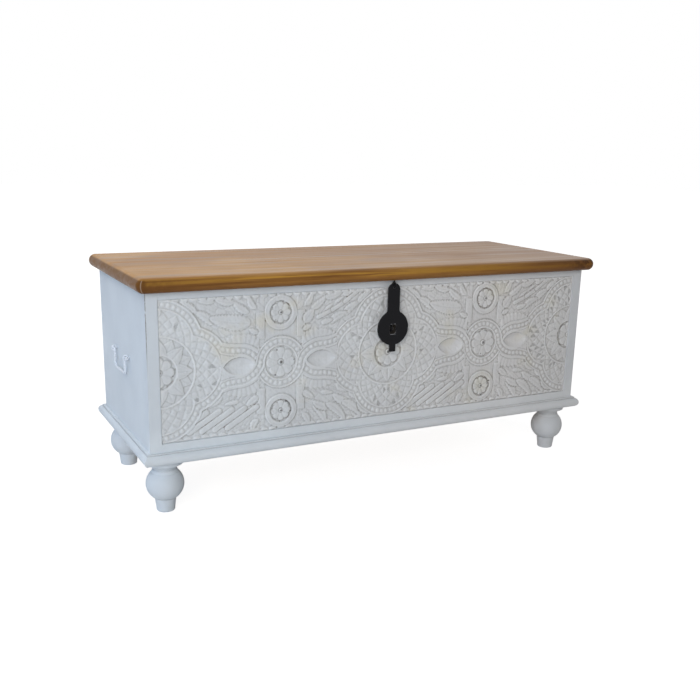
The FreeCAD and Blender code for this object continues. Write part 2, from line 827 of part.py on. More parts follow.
def round_wire(path, radius, start, direction):
    """A round bar bent along a path of straight runs and arcs."""
    section = Part.Wire([Part.makeCircle(radius, start, direction)])
    return path.makePipeShell([section], True, False)


# Drop handles


def right_handle_eyes():
    """The two eyes on the right side, each a ring with a shank through the board."""
    eyes = []
    for y in (-eye_y, eye_y):
        ring = Part.makeTorus(eye_radius, eye_wire_radius, V(handle_x, y, handle_z), along_y)
        ring_inner = handle_x - eye_radius
        shank = cylinder(eye_wire_radius, ring_inner - half_length + eye_shank,
                         V(ring_inner, y, handle_z), -along_x)
        eyes.append(fused(ring, shank))
    return eyes


def right_handle_bail():
    """The hanging bail, its ends turned outward through the eyes."""
    end_y = eye_y + eye_wire_radius + bail_end_length
    turns = [V(handle_x, -end_y, handle_z), V(handle_x, -bail_arm_y, handle_z),
             V(handle_x, -bail_arm_y, handle_z - bail_drop), V(handle_x, bail_arm_y, handle_z - bail_drop),
             V(handle_x, bail_arm_y, handle_z), V(handle_x, end_y, handle_z)]
    bends = [bail_corner_radius] * (len(turns) - 2)
    bends[0] = bends[-1] = bail_wire_radius + bail_shoulder_gap
    return round_wire(rounded_path(turns, bends), bail_wire_radius, turns[0], along_y)


def rounded_path(turns, bends):
    """A path through corner points, each square corner rounded by its own radius."""
    edges = []
    last = turns[0]
    for before, corner, after, radius in zip(turns, turns[1:], turns[2:], bends):
        arrive = (before - corner).normalize()
        leave = (after - corner).normalize()
        start = corner + arrive * radius
        end = corner + leave * radius
        middle = corner + (arrive + leave) * (radius * (1 - math.sqrt(0.5)))
        edges.append(Part.LineSegment(last, start).toShape())
        edges.append(Part.Arc(start, middle, end).toShape())
        last = end
    edges.append(Part.LineSegment(last, turns[-1]).toShape())
    return Part.Wire(edges)


def all_nodes():
    """Every piece of the trunk under its own name."""
    nodes = {}

    def pair(name, shape):
        nodes["right_" + name] = shape
        nodes["left_" + name] = mirrored_x(shape)

    pair("front_stile", front_stile())
    nodes["front_top_rail"] = front_top_rail()
    nodes["front_bottom_rail"] = front_bottom_rail()
    nodes["carved_front_panel"] = carved_front_panel()
    pair("side_panel", right_side_panel())
    nodes["back_panel"] = back_panel()
    nodes["bottom_board"] = bottom_board()
    nodes["front_bottom_cleat"] = front_bottom_cleat()
    nodes["back_bottom_cleat"] = mirrored_y(front_bottom_cleat())
    foot = turned_foot()
    block = corner_block(foot)
    pair("front_corner_block", block)
    pair("back_corner_block", mirrored_y(block))
    pair("front_foot", foot)
    pair("back_foot", mirrored_y(foot))
    front_base = base_moulding(half_length, half_depth)
    nodes["front_base_moulding"] = front_base
    nodes["back_base_moulding"] = mirrored_y(front_base)
    pair("base_moulding", quarter_turned(base_moulding(half_depth, half_length)))
    nodes["lid_front_edge"] = lid_front_edge()
    nodes["lid_back_edge"] = lid_back_edge()
    pair("lid_end_edge", quarter_turned(lid_edge(lid_half_depth, lid_half_length)))
    for index in range(lid_board_count):
        nodes["lid_board_%d" % (index + 1)] = lid_board(index)
    pair("lid_batten", lid_batten())
    nodes["lid_batten_screws"] = Part.makeCompound(lid_batten_screws())
    pair("hinge_body_leaf", hinge_body_leaf())
    pair("hinge_lid_leaf", hinge_lid_leaf())
    pair("hinge_pin", hinge_pin())
    nodes["hinge_body_screws"] = Part.makeCompound(hinge_body_screws())
    nodes["hinge_lid_screws"] = Part.makeCompound(hinge_lid_screws())
    nodes["hasp_plate"] = hasp_plate()
    nodes["hasp_eye"] = hasp_eye()
    nodes["lock_staple"] = lock_staple()
    pair("handle_eyes", Part.makeCompound(right_handle_eyes()))
    pair("handle_bail", right_handle_bail())
    return nodes


os.makedirs("parts", exist_ok=True)
for node_name, node_shape in all_nodes().items():
    if not node_shape.isValid():
        raise ValueError("bad solid in " + node_name)
    node_shape.exportStep("parts/" + node_name + ".step")
    print(node_name, len(node_shape.Solids), round(node_shape.Volume))
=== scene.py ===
import json
import logging
import math
from dataclasses import dataclass
from enum import Enum
from functools import reduce
from typing import Any, NamedTuple, Sequence, Union

import bpy
import numpy as np
from mathutils import Matrix, Vector


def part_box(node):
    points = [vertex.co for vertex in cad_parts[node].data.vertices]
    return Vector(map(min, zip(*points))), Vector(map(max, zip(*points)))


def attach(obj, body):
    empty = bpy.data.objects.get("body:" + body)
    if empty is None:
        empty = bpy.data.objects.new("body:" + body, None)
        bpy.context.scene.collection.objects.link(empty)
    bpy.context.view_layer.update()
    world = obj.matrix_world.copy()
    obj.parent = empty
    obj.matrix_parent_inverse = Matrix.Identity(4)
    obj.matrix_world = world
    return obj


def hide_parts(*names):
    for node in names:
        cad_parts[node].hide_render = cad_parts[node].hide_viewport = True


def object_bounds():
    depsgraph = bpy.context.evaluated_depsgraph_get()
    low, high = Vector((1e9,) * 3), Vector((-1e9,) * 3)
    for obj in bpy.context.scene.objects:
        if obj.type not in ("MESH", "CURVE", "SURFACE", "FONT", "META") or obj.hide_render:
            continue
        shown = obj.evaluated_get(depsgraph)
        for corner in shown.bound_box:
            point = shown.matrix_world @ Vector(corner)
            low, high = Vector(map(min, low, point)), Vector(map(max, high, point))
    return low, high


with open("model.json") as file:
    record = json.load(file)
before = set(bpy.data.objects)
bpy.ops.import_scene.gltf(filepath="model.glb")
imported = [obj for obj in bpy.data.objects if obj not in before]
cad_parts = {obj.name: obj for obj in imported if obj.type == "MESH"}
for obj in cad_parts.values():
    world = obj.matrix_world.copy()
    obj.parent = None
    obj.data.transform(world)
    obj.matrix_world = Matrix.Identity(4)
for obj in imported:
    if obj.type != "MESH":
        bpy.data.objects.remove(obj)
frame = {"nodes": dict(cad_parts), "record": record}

MM = 0.001
cad_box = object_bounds()
log = logging.getLogger("trunk")

Array = np.ndarray
Socket = bpy.types.NodeSocket
Value = Union[Socket, float, Sequence[float]]
Colour = tuple[float, float, float]


class Grain(Enum):
    """The way that a board's grain runs."""

    LENGTHWISE = 0.0
    CROSSWISE = math.pi / 2


class Ground(Enum):
    """What the white paint lies on."""

    PLAIN = "plain"
    CARVED = "carved"


class Graph:
    """A node tree, with short calls for the nodes that the finishes share."""

    def __init__(self, owner: Union[bpy.types.Material, bpy.types.World]) -> None:
        """Start an empty tree.

        Args:
            owner: The material or world that holds the tree.
        """
        owner.use_nodes = True
        self.tree = owner.node_tree
        self.tree.nodes.clear()

    def feed(self, socket: Socket, value: Value) -> None:
        """Link a socket into an input, or set the input's own value.

        Args:
            socket: The input to feed.
            value: Another node's output, or a plain value.
        """
        if isinstance(value, bpy.types.NodeSocket):
            self.tree.links.new(value, socket)
        else:
            socket.default_value = value

    def add(self, kind: str, inputs: dict[Any, Value], **settings: Any) -> bpy.types.Node:
        """Add a node.

        Args:
            kind: Blender's name of the node type.
            inputs: What goes into its sockets, by name or number.
            settings: The node's own properties.

        Returns:
            The new node.
        """
        node = self.tree.nodes.new(kind)
        for name, value in settings.items():
            setattr(node, name, value)
        for name, value in inputs.items():
            self.feed(node.inputs[name], value)
        return node

    def noise(self, vector: Socket, scale: float, detail: float = 3.0, roughness: float = 0.5,
              distortion: float = 0.0) -> Socket:
        """A noise pattern around one half, with its patches per unit and its octaves."""
        return self.add("ShaderNodeTexNoise", {"Vector": vector, "Scale": scale, "Detail": detail,
                                               "Roughness": roughness, "Distortion": distortion}).outputs[0]

    def ramp(self, factor: Socket, low: float, high: float) -> Socket:
        """Stretch a factor so that it runs smoothly from 0 at low to 1 at high."""
        return self.add("ShaderNodeMapRange", {"Value": factor, "From Min": low, "From Max": high},
                        interpolation_type="SMOOTHSTEP").outputs[0]

    def span(self, value: Socket, source: Sequence[float], target: Sequence[Value]) -> Socket:
        """Carry a number evenly from one range over to another."""
        return self.add("ShaderNodeMapRange", {"Value": value, "From Min": source[0], "From Max": source[1],
                                               "To Min": target[0], "To Max": target[1]}).outputs[0]

    def calc(self, operation: str, first: Value, second: Value) -> Socket:
        """Join two numbers by one operation, clamped between 0 and 1."""
        return self.add("ShaderNodeMath", {0: first, 1: second}, operation=operation,
                        use_clamp=True).outputs[0]

    def times(self, *factors: Value) -> Socket:
        """Multiply factors, clamped between 0 and 1."""
        return reduce(lambda first, second: self.calc("MULTIPLY", first, second), factors)

    def away(self, value: Socket, level: Value) -> Socket:
        """The distance between two numbers."""
        gap = self.add("ShaderNodeMath", {0: value, 1: level}, operation="SUBTRACT").outputs[0]
        return self.add("ShaderNodeMath", {0: gap}, operation="ABSOLUTE").outputs[0]

    def mix(self, factor: Value, first: Value, second: Value, blend: str = "MIX") -> Socket:
        """Mix two colours.

        Args:
            factor: How much of the second colour shows.
            first: The first colour.
            second: The second colour.
            blend: Blender's name of the blend.

        Returns:
            The mixed colour.
        """
        node = self.add("ShaderNodeMix", {}, data_type="RGBA", blend_type=blend)
        for number, value in ((0, factor), (6, first), (7, second)):
            plain = isinstance(value, tuple) and len(value) == 3
            self.feed(node.inputs[number], (*value, 1.0) if plain else value)
        return node.outputs[2]

    def layers(self, colour: Value, *coats: tuple[Socket, Value]) -> Socket:
        """Lay coats over a colour, each given as its share and its own colour."""
        return reduce(lambda under, coat: self.mix(coat[0], under, coat[1]), coats, colour)


class Finish(Graph):
    """A material's graph with one shader.

    Attributes:
        spot: Where the surface is, in metres, moving with the piece; x, y and z are its parts.
    """

    def __init__(self, name: str) -> None:
        """Start a material.

        Args:
            name: The material's name.
        """
        self.material = bpy.data.materials.new(name)
        super().__init__(self.material)
        self.shader = self.add("ShaderNodeBsdfPrincipled", {})
        self.output = self.add("ShaderNodeOutputMaterial", {"Surface": self.shader.outputs["BSDF"]})
        self.spot = self.place()
        self.x, self.y, self.z = self.add("ShaderNodeSeparateXYZ", {"Vector": self.spot}).outputs

    def place(self, scale: Sequence[float] = (1, 1, 1), turn: float = 0.0) -> Socket:
        """Coordinates that move with the piece.

        Args:
            scale: A factor along each axis.
            turn: A turn about the vertical, in radians, before scaling.

        Returns:
            The vector socket.
        """
        coordinates = self.add("ShaderNodeTexCoord", {}).outputs["Object"]
        turned = self.add("ShaderNodeMapping", {"Vector": coordinates, "Rotation": (0, 0, turn)})
        return self.add("ShaderNodeMapping", {"Vector": turned.outputs[0], "Scale": scale}).outputs[0]

    def occlusion(self, reach: float, inside: bool) -> Socket:
        """1 on the open faces of a piece, less in its corners, or at its outer edges if inside is set."""
        return self.add("ShaderNodeAmbientOcclusion", {"Distance": reach}, samples=6, inside=inside,
                        only_local=True).outputs["AO"]

    def shade(self, inputs: dict[str, Value]) -> None:
        """Feed the shader's inputs by name."""
        for name, value in inputs.items():
            self.feed(self.shader.inputs[name], value)

    def relief(self, height: Socket, strength: float, depth: float, edge: float) -> None:
        """Give the shader a bumped normal on softened edges.

        Args:
            height: The bump's height.
            strength: The bump's share.
            depth: The bump's depth in metres.
            edge: The radius of the softened edges, in metres.
        """
        soft = self.add("ShaderNodeBevel", {"Radius": edge}, samples=4).outputs[0]
        bump = self.add("ShaderNodeBump", {"Height": height, "Normal": soft, "Strength": strength,
                                           "Distance": depth})
        self.shade({"Normal": bump.outputs[0]})


@dataclass(frozen=True)
class WhitePaint:
    """Worn matt white paint, rubbed on its edges and dark in its crevices from dirt and painted shade, with
    painted light across the front, bare inside the trunk.
    """

    ground: Ground
    fresh: Colour
    rubbed: Colour
    # Painted highlight, laid on the carving's ridges.
    bright: Colour = (0.90, 0.90, 0.89)
    warm: Colour = (0.76, 0.72, 0.60)
    grime_and_shade: Colour = (0.16, 0.13, 0.10)
    glaze_and_shade: Colour = (0.035, 0.029, 0.023)
    bare: Colour = (0.40, 0.27, 0.15)
    # Painted light: a cool tint toward the left end and a warm tint toward the right.
    painted_cool_light: Colour = (0.96, 0.985, 1.01)
    painted_warm_light: Colour = (1.015, 0.972, 0.948)
    # Painted shade: darkens the far right end.
    dull: Colour = (0.93, 0.94, 0.945)
    # Painted light: brightens the front's rail and base as if lit by the floor's bounce.
    clean: Colour = (1.09, 1.085, 1.075)
    sheen: float = 0.35
    chip_up: float = 0.285
    chip_shape: tuple[float, float, float] = (20.0, 20.0, 1.0)
    dirt_and_shade: tuple[float, float] = (0.26, 0.66)

    def material(self) -> bpy.types.Material:
        """Build the finish.

        Returns:
            The material.
        """
        graph = Finish("white_paint_" + self.ground.value)
        cloud = graph.noise(graph.spot, 9.0, 4.0, 0.6)
        speck = graph.noise(graph.spot, 160.0, 4.0, 0.65)
        brush = graph.noise(graph.place((14, 14, 220)), 1.0)
        colour = graph.mix(graph.ramp(cloud, 0.35, 0.75), self.fresh, self.rubbed)
        # Painted light: the paint is tinted cool toward the left end and warm toward the right, as light
        # falls across the trunk.
        painted_light_tint = graph.mix(graph.ramp(graph.x, -0.5, 0.5), self.painted_cool_light, self.painted_warm_light)
        colour = graph.mix(1.0, colour, painted_light_tint, "MULTIPLY")
        # Painted shade: the far right end is darkened, as if less light reached it.
        colour = graph.mix(graph.ramp(graph.x, 0.33, 0.50), colour, self.dull, "MULTIPLY")
        wear = self.carved if self.ground is Ground.CARVED else self.plain
        colour = graph.mix(self.inside(graph), wear(graph, colour, speck), self.timber(graph))
        graph.shade({"Base Color": colour, "Roughness": graph.ramp(cloud, -0.75, 1.0),
                     "Specular IOR Level": self.sheen})
        skin = graph.calc("ADD", graph.times(brush, 0.6), graph.times(speck, 0.4))
        graph.relief(skin, 0.25, 0.0006, 0.0009)
        return graph.material

    def carved(self, graph: Finish, colour: Socket, speck: Socket) -> Socket:
        """Age the carving, with painted highlights on its ridges, and dirt and painted shade in its
        crevices, more of it to the right.

        Args:
            graph: The material's graph.
            colour: The paint's colour.
            speck: A fine pattern.

        Returns:
            The aged colour.
        """
        cavity, ridge, glaze_and_shade = (graph.add("ShaderNodeAttribute", {}, attribute_name=mark).outputs["Fac"]
                                for mark in ("cavity", "ridge", "glaze_and_shade"))
        yellowed = graph.ramp(graph.noise(graph.spot, 13.0), 0.55, 0.75)
        patch = graph.ramp(graph.noise(graph.spot, 26.0), 0.46, 0.70)
        # Dirt and painted shade darken the crevices, more of it toward the right.
        deep = graph.times(graph.ramp(cavity, 0.35, 1.0), graph.ramp(speck, 0.34, 0.62))
        dirt_and_shade = graph.span(graph.x, (-0.4, 0.5), self.dirt_and_shade)
        # Painted highlight on the ridges; dirt and painted shade in the crevices.
        return graph.layers(colour, (graph.times(yellowed, 0.5), self.warm),
                            (graph.times(ridge, 0.6), self.bright),
                            (graph.times(cavity, dirt_and_shade), self.grime_and_shade),
                            (graph.times(deep, graph.calc("ADD", patch, 0.20)), self.grime_and_shade),
                            (graph.times(glaze_and_shade, graph.ramp(speck, 0.15, 0.45)), self.glaze_and_shade))

    def plain(self, graph: Finish, colour: Socket, speck: Socket) -> Socket:
        """Age the plain boards, with dirt and painted shade in their corners, worn edges and a chip on the
        left stile.

        Args:
            graph: The material's graph.
            colour: The paint's colour.
            speck: A fine pattern.

        Returns:
            The aged colour.
        """
        # Painted shade, with dirt: the corners are darkened where occlusion finds other faces near.
        corner = graph.ramp(graph.occlusion(0.010, False), 0.92, 0.55)
        edge = graph.ramp(graph.occlusion(0.0025, True), 0.90, 0.60)
        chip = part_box("left_front_stile")[0] + Vector((0.0, 0.0, self.chip_up))
        shape = Vector(self.chip_shape)
        away = graph.add("ShaderNodeVectorMath", {0: graph.place(shape), 1: chip * shape},
                         operation="DISTANCE").outputs["Value"]
        chipped = graph.times(graph.ramp(away, 0.13, 0.04), graph.ramp(speck, 0.25, 0.45))
        rubbed = graph.ramp(graph.noise(graph.spot, 7.0, 2.0), 0.54, 0.66)
        worn = graph.calc("ADD", chipped, graph.times(rubbed, graph.ramp(speck, 0.40, 0.56), 0.15))
        # Painted light: the front's rail and base are brightened as if lit by the floor's bounce.
        colour = graph.mix(self.bounce_lit_skirt(graph), colour, self.clean, "MULTIPLY")
        return graph.layers(colour, (graph.times(corner, 0.35), self.grime_and_shade),
                            (graph.times(edge, worn), self.grime_and_shade))

    def bounce_lit_skirt(self, graph: Finish) -> Socket:
        """Find the front's rail and base, which are brightened with painted light as if from the floor's
        bounce.

        Args:
            graph: The material's graph.

        Returns:
            1 on the rail and base, less up the front, 0 elsewhere.
        """
        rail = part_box("front_bottom_rail")
        foot, top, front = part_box("front_base_moulding")[0].z, rail[1].z, rail[0].y
        return graph.times(graph.ramp(graph.z, top + 50.0 * MM, top - 10.0 * MM),
                           graph.ramp(graph.z, foot - 2.0 * MM, foot + 2.0 * MM),
                           graph.ramp(graph.y, front + 30.0 * MM, front + 10.0 * MM))

    def timber(self, graph: Finish) -> Socket:
        """The colour of the bare boards inside."""
        streak = graph.noise(graph.place((3, 60, 60)), 1.0, 5.0, 0.6)
        return graph.mix(graph.ramp(streak, 0.3, 0.7), self.bare, tuple(0.62 * c for c in self.bare))

    def inside(self, graph: Finish) -> Socket:
        """Find the faces that lie within the carcass.

        Args:
            graph: The material's graph.

        Returns:
            1 inside, 0 outside.
        """
        skin = 0.2 * MM
        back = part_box("back_panel")[0]
        walls = ((graph.x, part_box("right_side_panel")[0].x), (graph.y, back.y))
        within = (graph.calc("LESS_THAN", graph.away(axis, 0.0), limit + skin) for axis, limit in walls)
        return graph.times(graph.calc("GREATER_THAN", graph.z, back.z + skin), *within)


@dataclass(frozen=True)
class LidTimber:
    """Honey-brown lacquered hardwood with its grain along the lid.

    Attributes:
        polish: The gloss of the flat top at its left and right end.
        rim_polish: The gloss of the rounded edge.
        gilding: How much gold lies in the wood.
        filler_share: How much of the filler shows at the mitre.
    """

    polish: tuple[float, float] = (0.18, 0.58)
    rim_polish: float = 0.09
    gilding: float = 0.8
    filler_share: float = 0.45
    dark: Colour = (0.15, 0.060, 0.016)
    mid: Colour = (0.42, 0.195, 0.046)
    gold: Colour = (0.60, 0.310, 0.080)
    painted_highlight_honey: Colour = (0.66, 0.350, 0.060)
    burnt: Colour = (0.075, 0.028, 0.008)
    end: Colour = (0.138, 0.057, 0.015)
    filler: Colour = (0.52, 0.40, 0.30)

    def material(self) -> bpy.types.Material:
        """Build the finish.

        Returns:
            The material.
        """
        graph = Finish("lid_timber")
        figure = graph.noise(graph.place((1.6, 34, 75)), 1.0, 6.0, 0.58, 0.9)
        pores = graph.noise(graph.place((9, 420, 420)), 1.0, 3.0, 0.6)
        wide = graph.noise(graph.place((2.4, 4, 30)), 1.0, 3.0, 0.6)
        low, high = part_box("lid_front_edge")
        rim = graph.ramp(graph.z, high.z - 1.5 * MM, high.z - 5.0 * MM)
        left = graph.times(rim, graph.ramp(graph.x, low.x + 18.0 * MM, low.x + 8.0 * MM))
        # Painted highlight and shade: the rounded edge is lightened toward honey high up and darkened low
        # down.
        under = graph.ramp(graph.z, low.z + 13.0 * MM, low.z + 3.0 * MM)
        lit = graph.times(rim, graph.ramp(graph.z, low.z + 11.0 * MM, low.z + 18.0 * MM),
                          graph.ramp(figure, 0.40, 0.56))
        streak = graph.calc("SUBTRACT", graph.times(graph.ramp(pores, 0.54, 0.70), 0.5), left)
        colour = graph.layers(self.dark, (graph.ramp(figure, 0.22, 0.54), self.mid),
                              (graph.times(graph.ramp(wide, 0.40, 0.64), self.gilding), self.gold),
                              (graph.times(lit, 0.8), self.painted_highlight_honey), (graph.times(under, 0.6), self.dark))
        colour = graph.layers(self.darken_right_and_ends(graph, colour, rim), (graph.times(left, 0.85), self.end),
                              (streak, self.dark), (graph.times(self.mitre(graph), rim), self.filler))
        graph.shade({"Base Color": colour, "Roughness": graph.ramp(figure, -0.55, 1.9),
                     "Specular IOR Level": sum(self.polish) / 2.0})
        top = graph.span(graph.x, (low.x, high.x), self.polish)
        graph.shade({"Specular IOR Level": graph.span(rim, (0.0, 1.0), (top, self.rim_polish))})
        graph.relief(graph.calc("SUBTRACT", 1.0, streak), 0.2, 0.0004, 0.0008)
        return graph.material

    def mitre(self, graph: Finish) -> Socket:
        """Find the line of pale filler along the mitre of the front left corner.

        Args:
            graph: The material's graph.

        Returns:
            How much of the filler shows.
        """
        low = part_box("lid_front_edge")[0]
        diagonal = graph.add("ShaderNodeMath", {0: graph.y, 1: low.x - low.y}, operation="ADD").outputs[0]
        corner = graph.ramp(graph.x, low.x + 30.0 * MM, low.x + 20.0 * MM)
        line = graph.ramp(graph.away(graph.x, diagonal), 2.2 * MM, 0.6 * MM)
        return graph.times(line, corner, self.filler_share)

    def darken_right_and_ends(self, graph: Finish, colour: Socket, rim: Socket) -> Socket:
        """Darken the lid toward its right end, and in patches at both ends of its rounded edge.

        Args:
            graph: The material's graph.
            colour: The wood's colour.
            rim: 1 below the lid's flat top.

        Returns:
            The aged colour.
        """
        low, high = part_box("lid_front_edge")
        far = graph.away(graph.x, 0.0)
        right = graph.ramp(graph.x, low.x, high.x)
        top = graph.calc("SUBTRACT", graph.ramp(graph.x, 0.1 * high.x, high.x), rim)
        ends = graph.times(rim, graph.ramp(far, 0.40 * high.x, high.x))
        front = graph.ramp(graph.y, low.y + 22.0 * MM, low.y + 14.0 * MM)
        patch = graph.ramp(graph.noise(graph.spot, 70.0, 4.0, 0.65), 0.40, 0.56)
        burnt = graph.times(rim, front, graph.ramp(far, 0.80 * high.x, high.x), patch,
                            graph.calc("ADD", right, 0.25))
        return graph.layers(colour, (graph.times(right, 0.55), self.dark),
                            (graph.times(top, 0.35), self.dark),
                            (graph.times(ends, 0.65), self.dark), (burnt, self.burnt))


@dataclass(frozen=True)
class BareTimber:
    """Unfinished boards that only show inside and underneath."""

    grain: Grain
    pale: Colour = (0.42, 0.285, 0.155)
    dark: Colour = (0.24, 0.145, 0.07)
    roughness: float = 0.82

    def material(self) -> bpy.types.Material:
        """Build the finish.

        Returns:
            The material.
        """
        graph = Finish("bare_timber_" + self.grain.name.lower())
        streak = graph.noise(graph.place((2.5, 55, 55), self.grain.value), 1.0, 5.0, 0.6, 0.5)
        saw = graph.noise(graph.place((30, 400, 400), self.grain.value), 1.0, 2.0)
        graph.shade({"Base Color": graph.mix(graph.ramp(streak, 0.3, 0.7), self.pale, self.dark),
                     "Roughness": self.roughness})
        graph.relief(saw, 0.3, 0.0005, 0.0008)
        return graph.material


@dataclass(frozen=True)
class Iron:
    """Metal with a soft hammered skin and bright rubbed edges."""

    name: str
    skin: Colour
    rubbed: Colour
    metallic: float
    roughness: float
    rub: float
    gloss: float = 0.5
    slot_wear_and_glint: float = 0.0

    def material(self) -> bpy.types.Material:
        """Build the finish.

        Returns:
            The material.
        """
        graph = Finish(self.name)
        dents = graph.noise(graph.spot, 120.0, 3.0, 0.55)
        speck = graph.noise(graph.spot, 700.0, 2.0)
        edge = graph.ramp(graph.occlusion(0.0012, True), 0.90, 0.60)
        colour = graph.mix(graph.ramp(speck, 0.35, 0.75), self.skin, tuple(1.7 * c for c in self.skin))
        colour = graph.mix(graph.times(edge, graph.ramp(dents, 0.40, 0.62), self.rub), colour, self.rubbed)
        # Painted glint, with rubbed iron: the slot's top and bottom ends are lightened.
        if self.slot_wear_and_glint > 0.0:
            wear = graph.times(self.slot_glint_ends(graph), self.slot_wear_and_glint, graph.ramp(dents, 0.36, 0.50))
            colour = graph.mix(wear, colour, self.rubbed)
        graph.shade({"Base Color": colour, "Metallic": self.metallic, "Roughness": self.roughness,
                     "Specular IOR Level": self.gloss})
        hammered = graph.calc("ADD", graph.times(dents, 0.8), graph.times(speck, 0.2))
        graph.relief(hammered, 0.35, 0.0008, 0.0006)
        return graph.material

    def slot_glint_ends(self, graph: Finish) -> Socket:
        """Find both ends of the hasp's slot, where the staple has rubbed the iron bright and a painted glint
        is laid.

        Args:
            graph: The material's graph.

        Returns:
            1 at the slot's ends.
        """
        openings = {entry["name"]: entry["box_m"] for entry in frame["record"]["physics"]["openings"]}
        low, high = openings["hasp_slot"]
        foot, head = (graph.ramp(graph.away(graph.z, end[2]), 2.4 * MM, 1.0 * MM) for end in (low, high))
        across = graph.ramp(graph.away(graph.x, 0.0), high[0], high[0] - 2.0 * MM)
        return graph.times(graph.calc("ADD", foot, head), across)


class Leaf(NamedTuple):
    """A carved leaf, placed from the flower's middle. Sizes are in millimetres.

    Attributes:
        along: Its middle's distance outward.
        up: Its middle's distance from the middle line.
        tilt: Its tilt in degrees.
        length: Its length.
        width: Its width.
        bend: How far its tips curl to one side.
    """

    along: float
    up: float
    tilt: float
    length: float
    width: float
    bend: float = 0.0


class Strap(NamedTuple):
    """A carved strap, in millimetres from the flower's middle; its groove is a share of its height."""

    along0: float
    up0: float
    along1: float
    up1: float
    width: float
    groove: float = 0.22


class Post(NamedTuple):
    """A carved post: its distance from the flower's middle, half its width and its ends, in millimetres."""

    along: float = 46.5
    half: float = 10.0
    low: float = 54.0
    high: float = 111.0


class Fan(NamedTuple):
    """A carved fan: its middle, radii and half its width, in millimetres, and a flute's angle in degrees."""

    along: float = 89.0
    up: float = -14.0
    inner: float = 60.0
    outer: float = 79.0
    half: float = 39.0
    flute: float = 8.4


